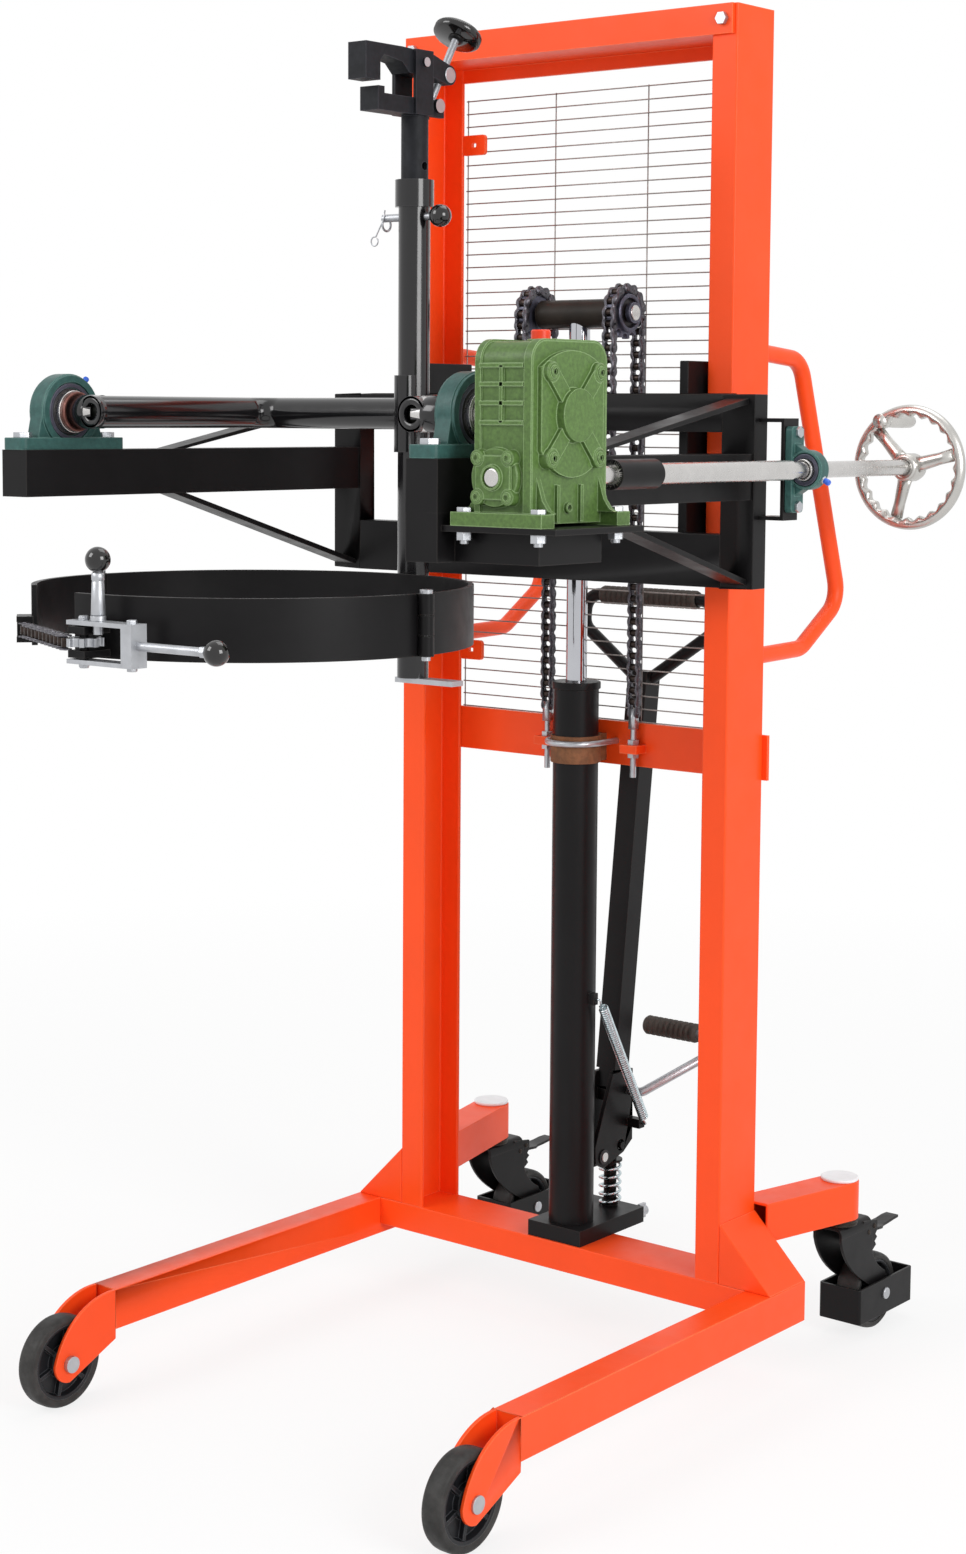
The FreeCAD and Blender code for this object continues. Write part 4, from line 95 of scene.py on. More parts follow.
def finish(name, tones, gloss, metal=0.0, mottle=35.0, grain=900.0, relief=0.1, coat=0.0, edge=None,
           shine=0.5):
    """A surface with three mottled tones, a gloss range, a fine relief and edges paled partly by wear,
    partly by a painted highlight.
    """
    material = bpy.data.materials.new(name)
    material.use_nodes = True
    tree = material.node_tree
    shader = tree.nodes["Principled BSDF"]
    settle(shader, Metallic=metal, Specular_IOR_Level=shine, Coat_Weight=coat, Coat_Roughness=0.12)
    where = tree.nodes.new("ShaderNodeTexCoord").outputs["Object"]
    patches = noise(tree, where, mottle)
    shade = ramp(tree, patches, [(0.3, tones[0]), (0.5, tones[1]), (0.72, tones[2])])
    # Edges are mixed toward the edge colour, a paler lit tone of the paint: partly wear, partly a painted
    # highlight along the edges.
    if edge:
        turned = tree.nodes.new("ShaderNodeBevel")
        turned.samples = 4
        settle(turned, Radius=EDGE_REACH)
        flat = tree.nodes.new("ShaderNodeVectorMath")
        flat.operation = "DOT_PRODUCT"
        tree.links.new(turned.outputs["Normal"], flat.inputs[0])
        tree.links.new(tree.nodes.new("ShaderNodeNewGeometry").outputs["Normal"], flat.inputs[1])
        worn_and_lit_tone, covered = (0.7, 0.7, 0.7, 1.0), (0.0, 0.0, 0.0, 1.0)
        wear_and_highlight = ramp(tree, flat.outputs["Value"], [(0.82, worn_and_lit_tone), (0.98, covered)])
        mix = tree.nodes.new("ShaderNodeMix")
        mix.data_type = "RGBA"
        settle(mix, B=edge)
        tree.links.new(wear_and_highlight, mix.inputs["Factor"])
        tree.links.new(shade, mix.inputs["A"])
        shade = mix.outputs["Result"]
    tree.links.new(shade, shader.inputs["Base Color"])
    spread = tree.nodes.new("ShaderNodeMapRange")
    settle(spread, From_Min=0.3, From_Max=0.7, To_Min=gloss[0], To_Max=gloss[1])
    tree.links.new(noise(tree, where, 3.1 * mottle), spread.inputs["Value"])
    tree.links.new(spread.outputs["Result"], shader.inputs["Roughness"])
    bump = tree.nodes.new("ShaderNodeBump")
    settle(bump, Strength=relief, Distance=GRAIN_DEPTH)
    tree.links.new(noise(tree, where, grain, 3.0, 0.5), bump.inputs["Height"])
    tree.links.new(bump.outputs["Normal"], shader.inputs["Normal"])
    return material


def tones(red, green, blue, spread):
    """A colour with a darker and a paler neighbour."""
    return [colour(*(max(0.0, min(255.0, value * share)) for value in (red, green, blue)))
            for share in (1.0 - spread, 1.0, 1.0 + spread)]


# Each edge colour is a paler, lit tone of its paint: worn edges together with a painted highlight along
# them.
ORANGE = finish("orange_paint", tones(252, 79, 22, 0.02), (0.34, 0.46), mottle=7.0, relief=0.04,
                edge=colour(255, 150, 104), shine=0.3)
BLACK = finish("black_paint", tones(20, 19, 20, 0.12), (0.3, 0.42), mottle=9.0, relief=0.05,
               edge=colour(60, 57, 55), shine=0.16)
GLOSSY = finish("glossy_black_paint", tones(16, 15, 17, 0.1), (0.12, 0.2), mottle=9.0, relief=0.03,
                coat=0.4, edge=colour(58, 56, 58), shine=0.36)
OXIDE = finish("browned_steel", tones(42, 36, 31, 0.16), (0.36, 0.5), mottle=24.0, relief=0.05,
               edge=colour(92, 82, 74), shine=0.16)
TEXTURED = finish("textured_black_paint", tones(28, 29, 33, 0.2), (0.45, 0.6), mottle=60.0, grain=1500.0,
                  relief=0.35, edge=colour(70, 70, 76), shine=0.18)
ZINC = finish("zinc_steel", tones(182, 184, 188, 0.05), (0.3, 0.44), metal=0.85, mottle=40.0, relief=0.04)
BRIGHT = finish("bright_steel", tones(200, 198, 196, 0.03), (0.2, 0.32), metal=0.95, mottle=26.0,
                relief=0.03)
CHROME = finish("chrome_rod", tones(186, 187, 192, 0.02), (0.06, 0.1), metal=1.0, mottle=14.0, relief=0.01)
CHAIN = finish("dark_chain", tones(84, 82, 88, 0.16), (0.3, 0.46), metal=0.8, mottle=110.0, relief=0.1,
               edge=colour(150, 148, 154))
ROLLER = finish("chain_roller", tones(52, 42, 38, 0.25), (0.3, 0.46), metal=0.75, mottle=130.0, relief=0.08)
SPROCKET = finish("sprocket_steel", tones(84, 84, 98, 0.14), (0.34, 0.48), metal=0.7, mottle=70.0,
                  relief=0.1, edge=colour(140, 140, 154))
GREEN = finish("green_casting", tones(84, 112, 58, 0.12), (0.3, 0.46), mottle=190.0, grain=620.0,
               relief=0.34, edge=colour(176, 204, 152), shine=0.3)
TEAL = finish("teal_casting", tones(54, 90, 86, 0.1), (0.3, 0.46), mottle=120.0, grain=560.0, relief=0.34,
              edge=colour(120, 158, 150), shine=0.26)
ALUMINIUM = finish("polished_aluminium", tones(196, 194, 190, 0.04), (0.24, 0.36), metal=1.0, mottle=20.0,
                   relief=0.03)
TREAD = finish("wheel_tread", tones(52, 51, 50, 0.3), (0.45, 0.6), mottle=32.0, relief=0.2,
               edge=colour(88, 87, 86), shine=0.22)
DISC = finish("wheel_disc", tones(27, 28, 31, 0.14), (0.36, 0.5), mottle=40.0, relief=0.08,
              edge=colour(98, 100, 104), shine=0.26)
RUBBER = finish("grip_rubber", tones(64, 58, 53, 0.12), (0.6, 0.8), mottle=110.0, grain=1500.0,
                relief=0.3, shine=0.3)
BAKELITE = finish("knob_bakelite", tones(16, 14, 14, 0.2), (0.05, 0.1), mottle=40.0, relief=0.02, coat=0.3)
CAP = finish("cap_plastic", tones(236, 236, 238, 0.02), (0.3, 0.45), mottle=60.0, relief=0.06)
PAD = finish("clamp_pad", tones(122, 80, 52, 0.16), (0.55, 0.75), mottle=80.0, grain=700.0, relief=0.4,
             shine=0.3)
PLUG = finish("plug_plastic", tones(240, 66, 32, 0.05), (0.3, 0.42), mottle=70.0, relief=0.08, shine=0.35)
NIPPLE = finish("blue_plastic", tones(44, 98, 210, 0.08), (0.25, 0.38), mottle=120.0, relief=0.06)
SEAL = finish("bearing_seal", tones(34, 31, 34, 0.2), (0.35, 0.5), mottle=100.0, relief=0.1, shine=0.35)
COLLAR = finish("bearing_collar", tones(116, 74, 66, 0.16), (0.32, 0.46), metal=0.5, mottle=90.0,
                relief=0.1)
WIRE = finish("wire_steel", tones(150, 142, 138, 0.1), (0.34, 0.48), metal=0.7, mottle=100.0, relief=0.06)
SPRING = finish("spring_steel", tones(196, 208, 212, 0.06), (0.18, 0.3), metal=0.95, mottle=110.0,
                relief=0.04)
# Flat dark finish for discs of painted shade set in recesses and pipe mouths.
SHADE = finish("painted_shade_dark", tones(20, 22, 18, 0.2), (0.5, 0.7), mottle=90.0, relief=0.08, shine=0.2)


def dress(name, base, *rules, bevel=0.001):
    """Gives a node its finish, and other finishes to the faces whose centre a rule picks."""
    item = nodes[name]
    mesh = item.data
    mesh.materials.clear()
    for material in [base] + [material for material, _ in rules]:
        mesh.materials.append(material)
    for face in mesh.polygons:
        face.use_smooth = True
        picked = [number for number, (_, holds) in enumerate(rules, 1) if holds(face.center)]
        face.material_index = picked[0] if picked else 0
    weld = item.modifiers.new("weld", "WELD")
    weld.merge_threshold = WELD_GAP
    flats = item.modifiers.new("flats", "DECIMATE")
    flats.decimate_type = "DISSOLVE"
    flats.angle_limit = FLAT_ANGLE
    flats.delimit = {"MATERIAL"}
    soften(item, bevel)


def soften(item, bevel):
    """Rounds sharp edges and keeps flat faces flat in shading."""
    if bevel:
        rounding = item.modifiers.new("rounding", "BEVEL")
        rounding.width = bevel
        rounding.segments = 2
        rounding.limit_method = "ANGLE"
        rounding.angle_limit = SHARP_ANGLE
    shading = item.modifiers.new("shading", "WEIGHTED_NORMAL")
    shading.keep_sharp = True


def from_post(point, x, y):
    """Distance of a point from a line along Z."""
    return math.hypot(point.x - x, point.y - y)


TILT_Y, TILT_Z = -0.77, 1.555
POST_Y = -0.42
BOX_X = 0.505
SHAFT_Z = 1.475
LATCH_Y, LATCH_Z = -1.1145, 1.252

for plain in ("legs", "base_crossbar", "top_beam", "mid_beam", "push_handles"):
    dress(plain, ORANGE, bevel=0.002)
dress("rear_arms", ORANGE, (CAP, lambda c: c.z > 0.2785), bevel=0.002)
dress("frame_fasteners", ZINC, bevel=0.0008)
dress("pump_base", BLACK, bevel=0.002)
dress("lift_cylinder", BLACK, (PAD, lambda c: 0.977 < c.z < 1.0245 and from_post(c, 0.0, 0.0) > 0.0385))
dress("cylinder_gland", BLACK, bevel=0.0015)
dress("crosshead", OXIDE, (CHROME, lambda c: c.z < 1.6966), (SPROCKET, lambda c: abs(c.x) > 0.1035),
      bevel=0.0006)
for plain in ("carriage_beams", "roller_plates", "carriage_arms", "arm_braces"):
    dress(plain, BLACK, bevel=0.0015)
dress("carriage_bolts", ZINC, bevel=0.0006)
for plain in ("upper_rollers", "lower_rollers"):
    dress(plain, BRIGHT)
dress("drive_shaft", BRIGHT,
      (BLACK, lambda c: -0.601 < c.y < -0.5 and math.hypot(c.x - BOX_X, c.z - SHAFT_Z) > 0.0155),
      bevel=0.0006)
dress("yoke_tubes", GLOSSY, (BRIGHT, lambda c: abs(c.x) > 0.3385), bevel=0.001)
dress("post_tube", GLOSSY, (ZINC, lambda c: c.z < 1.1512), bevel=0.0012)
dress("ring_band", BLACK, bevel=0.0012)
dress("ring_pins", ZINC, bevel=0.0006)
dress("left_ring_arm", BLACK, bevel=0.0012)
dress("right_ring_arm", BLACK,
      (ZINC, lambda c: abs(c.z - LATCH_Z) > 0.0285 and from_post(c, 0.02, LATCH_Y) < 0.0065), bevel=0.0012)
dress("latch_lever", ZINC, (BAKELITE, lambda c: c.x > 0.2345), bevel=0.0008)
dress("latch_pawl", ZINC, (BAKELITE, lambda c: c.z > 1.3275), bevel=0.0006)
dress("lock_pin", ZINC, (BAKELITE, lambda c: c.x > 0.0342), bevel=0.0004)
dress("slip_post", TEXTURED, (ZINC, lambda c: abs(c.x) > 0.0285 or (abs(c.x) > 0.0235 and c.y > -0.4)),
      bevel=0.0015)
dress("upper_jaw", TEXTURED, bevel=0.002)
dress("pump_rocker", BLACK, bevel=0.0015)
dress("hand_lever", BLACK, bevel=0.0012)
dress("pump_plunger", BLACK, bevel=0.0008)
dress("release_valve", ZINC, bevel=0.0006)
dress("chain_wheels", SPROCKET, bevel=0.0005)

AXES = {"X": Matrix(((0, 0, 1), (1, 0, 0), (0, 1, 0))), "Y": Matrix(((0, 1, 0), (0, 0, 1), (1, 0, 0))),
        "Z": Matrix.Identity(3)}


def facing(axis, x=0.0, y=0.0, z=0.0):
    """A frame whose third direction runs along an axis, at an origin."""
    return Matrix.Translation((x, y, z)) @ AXES[axis].to_4x4()


def aimed(start, end):
    """A frame at start whose third direction points to end."""
    way = Vector(end) - Vector(start)
    return Matrix.Translation(start) @ way.to_track_quat("Z", "Y").to_matrix().to_4x4()


def circle(radius, steps, centre=(0.0, 0.0), first=0.0, sweep=TURN):
    """Points on an arc, without its last point where it closes."""
    count = steps if abs(sweep) >= TURN - 1e-6 else steps + 1
    return [(centre[0] + radius * math.cos(first + sweep * n / steps),
             centre[1] + radius * math.sin(first + sweep * n / steps)) for n in range(count)]


def rounded(corners, radius, steps=5):
    """An outline with every corner turned into an arc."""
    outline = []
    for number, corner in enumerate(corners):
        here = Vector(corner)
        before = (Vector(corners[number - 1]) - here).normalized()
        after = (Vector(corners[(number + 1) % len(corners)]) - here).normalized()
        half = before.angle(after) / 2.0
        reach = radius / math.tan(half)
        centre = here + (before + after).normalized() * radius / math.sin(half)
        first = here + before * reach - centre
        last = here + after * reach - centre
        for step in range(steps + 1):
            blend = first.lerp(last, step / steps).normalized() * radius
            outline.append(tuple(centre + blend))
    return outline


def on_side(profile, way):
    """A turned profile of (radius, height) pairs put on one side of the middle."""
    return [(radius, way * height) for radius, height in profile]


class Piece:
    """A visible piece: closed forms gathered in one mesh, each with its own finish."""

    def __init__(self, name):
        self.name = name
        self.form = bmesh.new()
        self.finishes = []

    def faces(self, points, loops, material, place=Matrix.Identity(4)):
        """Adds points and the faces between them."""
        if material not in self.finishes:
            self.finishes.append(material)
        corners = [self.form.verts.new(place @ Vector(point)) for point in points]
        made = [self.form.faces.new([corners[n] for n in loop]) for loop in loops]
        for face in made:
            face.material_index = self.finishes.index(material)
            face.smooth = True
        bmesh.ops.recalc_face_normals(self.form, faces=made)

    def rings(self, rings, material, place=Matrix.Identity(4), closed=False):
        """A skin over rings of equal count, capped at both ends or closed on itself."""
        count = len(rings[0])
        points = [point for ring in rings for point in ring]
        spans = len(rings) if closed else len(rings) - 1
        loops = []
        for span in range(spans):
            here, there = span * count, (span + 1) % len(rings) * count
            loops += [(here + n, here + (n + 1) % count, there + (n + 1) % count, there + n)
                      for n in range(count)]
        if not closed:
            loops += [tuple(range(count)), tuple(range(len(points) - count, len(points)))]
        self.faces(points, loops, material, place)

    def lathe(self, profile, material, place, steps=32, closed=False):
        """A turned form from (radius, height) pairs about the frame's third direction."""
        rings = [[(x, y, height) for x, y in circle(max(radius, LEAST), steps)]
                 for radius, height in profile]
        self.rings(rings, material, place, closed)

    def prism(self, outline, low, high, material, place):
        """An outline carried along the frame's third direction."""
        self.rings([[(x, y, height) for x, y in outline] for height in (low, high)], material, place)

    def block(self, low, high, material):
        """A box between two corners."""
        (x0, y0, z0), (x1, y1, z1) = low, high
        self.prism([(x0, y0), (x1, y0), (x1, y1), (x0, y1)], z0, z1, material, Matrix.Identity(4))

    def tube(self, path, radius, material, sides=10, closed=False):
        """A round bar along a path of points."""
        path = [Vector(point) for point in path]
        turn = None
        rings = []
        for number, here in enumerate(path):
            ahead = path[(number + 1) % len(path)] if closed else path[min(number + 1, len(path) - 1)]
            behind = path[number - 1] if closed or number else path[0]
            way = (ahead - behind).normalized()
            if turn is None:
                turn = way.to_track_quat("Z", "Y")
            else:
                turn = (turn @ Vector((0.0, 0.0, 1.0))).rotation_difference(way) @ turn
            rings.append([here + turn @ Vector((x, y, 0.0)) for x, y in circle(radius, sides)])
        self.rings(rings, material, closed=closed)

    def hexagon(self, across, height, material, place):
        """A hexagon head with chamfered corners."""
        radius = across / math.sqrt(3.0)
        self.lathe([(radius, 0.0), (radius, 0.84 * height), (0.88 * radius, height)], material, place, 6)

    def socket(self, radius, height, material, place):
        """A cap screw with a hexagon recess, floored with a dark disc of painted shade."""
        self.lathe([(radius, 0.0), (radius, 0.86 * height), (0.86 * radius, height),
                    (0.56 * radius, height), (0.5 * radius, 0.45 * height)], material, place, 18)
        # Dark disc of painted shade at the bottom of the recess.
        self.lathe([(0.5 * radius, 0.46 * height), (0.5 * radius, 0.5 * height)], SHADE, place, 6)

    def show(self, body, slot, stands_for=(), bevel=0.0008):
        """Makes the object, which moves with a body and stands for construction nodes."""
        mesh = bpy.data.meshes.new(self.name)
        self.form.to_mesh(mesh)
        self.form.free()
        for material in self.finishes:
            mesh.materials.append(material)
        item = bpy.data.objects.new(self.name, mesh)
        bpy.context.collection.objects.link(item)
        if bevel:
            soften(item, bevel)
        if body:
            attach(item, body)
        if stands_for:
            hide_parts(*stands_for)
        return item


def gearbox():
    """Worm gearbox: ribbed case on two feet, crossed side cover, worm end cover and breather."""
    inner, outer, front, back, base, top = 0.468, 0.561, -0.845, -0.69, 1.412, 1.649
    foot_in, foot_out, foot_front, foot_back, foot_top = 0.44, 0.589, -0.862, -0.672, 1.43
    corner = 0.026
    side = facing("X")
    piece = Piece("worm_gearbox")

    def silhouette(grow):
        """The case's outline seen along the tilt axis."""
        lift = top - corner
        return ([(front - grow, base + 0.004), (back + grow, base + 0.004)]
                + circle(corner + grow, 7, (back - corner, lift), 0.0, TURN / 4.0)
                + circle(corner + grow, 7, (front + corner, lift), TURN / 4.0, TURN / 4.0))

    piece.prism(silhouette(0.0), inner, outer, GREEN, side)
    piece.prism(silhouette(0.003), outer - 0.013, outer - 0.0005, GREEN, side)
    piece.prism(silhouette(0.003), inner + 0.0005, inner + 0.01, GREEN, side)
    for near, far in ((foot_front, front + 0.01), (back - 0.01, foot_back)):
        piece.block((foot_in, near, base), (foot_out, far, foot_top), GREEN)
    rib, levels = 0.0026, (1.545, 1.57, 1.594, 1.618)
    for height in levels:
        for near, far in ((front - 0.004, front + 0.002), (back - 0.002, back + 0.004)):
            piece.block((inner + 0.008, near, height - rib), (outer - 0.014, far, height + rib), GREEN)
    middle = (inner + outer) / 2.0 - 0.003
    piece.block((middle - rib, front - 0.004, levels[0]), (middle + rib, front + 0.002, levels[-1]), GREEN)
    for y in (front + 0.008, back - 0.016):
        for wall, foot, way in ((outer, foot_out, 1.0), (inner, foot_in, -1.0)):
            fin = [(0.0, wall - way * 0.002), (0.0, foot - way * 0.001), (0.004, foot - way * 0.009),
                   (0.016, wall + way * 0.01), (0.046, wall)]
            piece.prism([(foot_top + z, x) for z, x in fin], 0.0, 0.008, GREEN, facing("Y", 0.0, y, 0.0))
    for y in (TILT_Y - 0.026, TILT_Y + 0.024):
        piece.block((outer - 0.002, y - 0.003, base + 0.006), (outer + 0.005, y + 0.003, 1.466), GREEN)
    piece.socket(0.007, 0.006, GREEN, facing("X", outer - 0.001, TILT_Y - 0.002, 1.436))

    half, low, crown = 0.066, 0.08, 0.11
    dip, rise = math.acos(half / low), math.acos(half / crown)
    cover = (circle(crown, 12, (TILT_Y, top - 0.011 - crown), rise, math.pi - 2.0 * rise)
             + circle(low, 16, (TILT_Y, TILT_Z), math.pi + dip, math.pi - 2.0 * dip))
    piece.prism(cover, outer - 0.001, outer + 0.007, GREEN, side)
    for y in (-0.05, 0.05):
        for z in (-0.055, 0.055):
            across = Vector((-z, y)).normalized() * 0.0115
            start, end = Vector((TILT_Y, TILT_Z)), Vector((TILT_Y + y, TILT_Z + z))
            bar = [start + across, start - across, end - across, end + across]
            piece.prism([tuple(spot) for spot in bar], outer, outer + 0.013, GREEN, side)
            spot = facing("X", outer, TILT_Y + y, TILT_Z + z)
            piece.lathe([(0.0135, 0.0), (0.013, 0.013), (0.0115, 0.0145)], GREEN, spot, 24)
            piece.socket(0.0078, 0.006, GREEN, spot @ Matrix.Translation((0.0, 0.0, 0.0115)))
    boss = [(0.036, 0.0), (0.0345, 0.0185), (0.0325, 0.02)]
    piece.lathe(boss, GREEN, facing("X", outer, TILT_Y, TILT_Z), 40)

    nose = facing("Y", BOX_X, front, SHAFT_Z)
    piece.lathe([(0.0385, 0.002), (0.0385, -0.006), (0.037, -0.008)], GREEN, nose, 40)
    pad, bolt = 0.028, 0.025
    corner_spots = [(a, b) for a in (-bolt, bolt) for b in (-bolt, bolt)]
    plate = rounded([(-pad, -pad), (pad, -pad), (pad, pad), (-pad, pad)], 0.008)
    piece.prism(plate, -0.0115, 0.0, GREEN, nose)
    for z, x in corner_spots:
        spot = nose @ Matrix.Translation((z, x, 0.0)) @ Matrix.Rotation(math.pi, 4, "X")
        piece.lathe([(0.011, 0.0), (0.0105, 0.0125), (0.0095, 0.0135)], GREEN, spot, 20)
        piece.socket(0.0066, 0.006, GREEN, spot @ Matrix.Translation((0.0, 0.0, 0.01)))
    lip = [(0.017, -0.01), (0.016, -0.0165), (0.0135, -0.0165), (0.013, -0.01)]
    piece.lathe(lip, GREEN, nose, 28, closed=True)
    piece.lathe([(0.0118, -0.01), (0.0118, -0.014), (0.01, -0.015)], BRIGHT, nose, 24)
    piece.lathe([(0.034, -0.001), (0.032, 0.016), (0.0128, 0.016), (0.0128, -0.001)], GREEN,
                facing("Y", BOX_X, back, SHAFT_Z), 32, closed=True)
    piece.lathe([(0.042, 0.001), (0.041, -0.008), (0.0256, -0.008), (0.0256, 0.001)], GREEN,
                facing("X", inner, TILT_Y, TILT_Z), 36, closed=True)
    peak = facing("Z", (inner + outer) / 2.0, TILT_Y, top)
    piece.lathe([(0.0185, -0.002), (0.018, 0.003), (0.0155, 0.004)], GREEN, peak, 28)
    piece.lathe([(0.0128, 0.003), (0.0128, 0.014), (0.0112, 0.0158)], PLUG, peak, 28)
    piece.show("carriage", "green_casting", ("gearbox_case", "gearbox_covers"), 0.0016)


def pillow_block(piece, place, half, foot, wide, reach, radius, ring, bearing, bore, nipple):
    """A cast bearing block: foot, arched housing with rims, bearing rings and a capped grease nipple."""
    base = place @ facing("Y", 0.0, -reach, 0.0)
    plan = [(-wide / 2.0, -half), (wide / 2.0, -half), (wide / 2.0, half), (-wide / 2.0, half)]
    piece.prism(rounded(plan, 0.2 * wide), 0.0, foot, TEAL, base)
    flare = 0.62 * half
    arch = circle(radius, 28, (0.0, 0.0), -0.02 * TURN, 0.54 * TURN)
    shell = [(flare, 0.9 * foot - reach)] + arch + [(-flare, 0.9 * foot - reach)]
    piece.prism(shell, -ring / 2.0 + 0.004, ring / 2.0 - 0.004, TEAL, place)
    for way in (-1.0, 1.0):
        face = way * ring / 2.0
        seat, end = (bearing + bore) / 2.0, way * wide / 2.0
        rim = [(radius, 0.0), (radius - 0.002, face), (bearing + 0.0045, face), (bearing + 0.0035, 0.0)]
        race = [(bearing + 0.004, 0.0), (bearing + 0.003, 0.92 * face), (bearing - 0.0035, 0.92 * face),
                (bearing - 0.0045, 0.0)]
        seal = [(bearing - 0.004, 0.0), (bearing - 0.0045, 0.84 * face), (seat - 0.001, 0.9 * face),
                (seat - 0.002, 0.0)]
        sleeve = [(seat - 0.0005, 0.0), (seat - 0.0005, end), (bore + 0.0006, end), (bore + 0.0006, 0.0)]
        for profile, material, steps in ((rim, TEAL, 44), (race, SPROCKET, 44), (seal, SEAL, 44),
                                         (sleeve, BRIGHT, 40)):
            piece.lathe(profile, material, place, steps, closed=True)
    spout = place @ Matrix.Rotation(nipple, 4, "Z") @ facing("X")
    for material, steps, profile in ((ZINC, 6, ((0.0062, -0.002), (0.0062, 0.002), (0.0035, 0.003))),
                                     (NIPPLE, 16, ((0.0044, 0.002), (0.0048, 0.01), (0.0036, 0.0125)))):
        piece.lathe([(reach, radius + out) for reach, out in profile], material, spout, steps)


def pillow_blocks():
    """Two blocks on the carriage arms and a third one on its bracket by the handwheel."""
    piece = Piece("pillow_block_castings")
    for x in (-0.398, 0.398):
        pillow_block(piece, facing("X", x, TILT_Y, TILT_Z), half=0.103, foot=0.018, wide=0.048, reach=0.057,
                     radius=0.057, ring=0.034, bearing=0.04, bore=0.0252, nipple=math.radians(48.0))
    pillow_block(piece, facing("Y", BOX_X, -0.097, SHAFT_Z), half=0.065, foot=0.012, wide=0.034,
                 reach=0.031, radius=0.03, ring=0.026, bearing=0.021, bore=0.0128,
                 nipple=math.radians(118.0))
    piece.show("carriage", "teal_casting", ("pillow_blocks",), 0.0012)


def handwheel():
    """Polished handwheel: rim with finger scallops, three tapered spokes and a turned hub."""
    piece = Piece("polished_handwheel")
    place = facing("Y", BOX_X, 0.205, SHAFT_Z)
    rim, steps, scallops = 0.0895, 144, 24
    rings = []
    for step in range(steps):
        turn = TURN * step / steps
        inward = 0.0075 + 0.0032 * math.cos(scallops * turn)
        section = []
        for x, z in circle(1.0, 14):
            out = rim + (0.01 * x if x > 0.0 else inward * x)
            section.append((out * math.cos(turn), out * math.sin(turn), 0.0098 * z))
        rings.append(section)
    piece.rings(rings, ALUMINIUM, place, closed=True)
    for turn in (-45.0, 75.0, 195.0):
        spoke = place @ Matrix.Rotation(math.radians(turn), 4, "Z") @ facing("X")
        rings = []
        for reach, wide, thick, dish in ((0.014, 0.0135, 0.0085, -0.004), (0.03, 0.0115, 0.0072, -0.003),
                                         (0.058, 0.0098, 0.0062, -0.001), (0.082, 0.0108, 0.0066, 0.0)):
            rings.append([(wide * x, thick * y + dish, reach) for x, y in circle(1.0, 14)])
        piece.rings(rings, ALUMINIUM, spoke)
    hub = [(0.013, -0.02), (0.0195, -0.02), (0.022, -0.016), (0.0225, 0.012), (0.0205, 0.0195),
           (0.013, 0.0195)]
    piece.lathe(hub, ALUMINIUM, place, 40, closed=True)
    _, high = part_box("handwheel")
    stud = place @ Matrix.Translation((0.0729, -0.0511, 0.0))
    piece.lathe([(0.0115, -0.0105), (0.012, 0.0075), (0.0098, 0.0115)], ALUMINIUM, stud, 24)
    piece.lathe([(0.0058, 0.0), (0.0058, high[1] - 0.2055), (0.0052, high[1] - 0.205)], ZINC, stud, 16)
    piece.show("drive", "polished_aluminium", ("handwheel",), 0)

    low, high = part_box("crank_grip")
    grip = Piece("crank_handle")
    length = high[1] - low[1]
    axis = facing("Y", (low[0] + high[0]) / 2.0, low[1], (low[2] + high[2]) / 2.0)
    outline = [(0.0062, 0.0), (0.0088, 0.0), (0.0098, 0.003), (0.0106, 0.3 * length),
               (0.011, 0.65 * length), (0.0106, length - 0.006), (0.0092, length), (0.0062, length)]
    grip.lathe(outline, ALUMINIUM, axis, 32, closed=True)
    grip.show("crank_grip", "polished_aluminium", ("crank_grip",), 0)


def road_wheel(name, body, bore):
    """A wheel with a rounded tread, a ribbed disc with a raised lip and a bearing hub."""
    low, high = (Vector(corner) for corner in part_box(name))
    centre = (low + high) / 2.0
    width, radius = high.x - low.x, (high.z - low.z) / 2.0
    place = facing("X", *centre)
    piece = Piece(name + "_turned")

    def turned(half, material, steps):
        """A ring that is alike on both faces, from shares of the radius and the width."""
        whole = half + [(r, -x) for r, x in reversed(half)]
        piece.lathe([(radius * r, width * x) for r, x in whole], material, place, steps, closed=True)

    turned([(0.8, -0.42), (0.83, -0.48), (0.92, -0.5), (0.965, -0.45), (0.99, -0.34), (1.0, -0.2)],
           TREAD, 72)
    turned([(0.32, -0.1), (0.7, -0.1), (0.735, -0.4), (0.76, -0.44), (0.81, -0.44)], DISC, 60)
    turned([(0.24, -0.44), (0.33, -0.44), (0.36, -0.38)], DISC, 44)
    turned([(bore / radius, -0.5), (0.205, -0.5), (0.25, -0.47)], ZINC, 40)
    rib = 0.045 * radius
    plan = [(0.34 * radius, -rib), (0.73 * radius, -rib), (0.73 * radius, rib), (0.34 * radius, rib)]
    for number in range(6):
        spread = place @ Matrix.Rotation(TURN * (number + 0.3) / 6.0, 4, "Z")
        piece.prism(plan, -0.34 * width, 0.34 * width, DISC, spread)
    piece.show(body, "wheel_tread", (name,), 0.0006)


def curve(start, bend_to, end, steps=8):
    """Points on a smooth bow between two ends, drawn to a middle point."""
    points = []
    for step in range(steps + 1):
        share = step / steps
        here = Vector(start).lerp(Vector(bend_to), share)
        points.append(tuple(here.lerp(Vector(bend_to).lerp(Vector(end), share), share)))
    return points


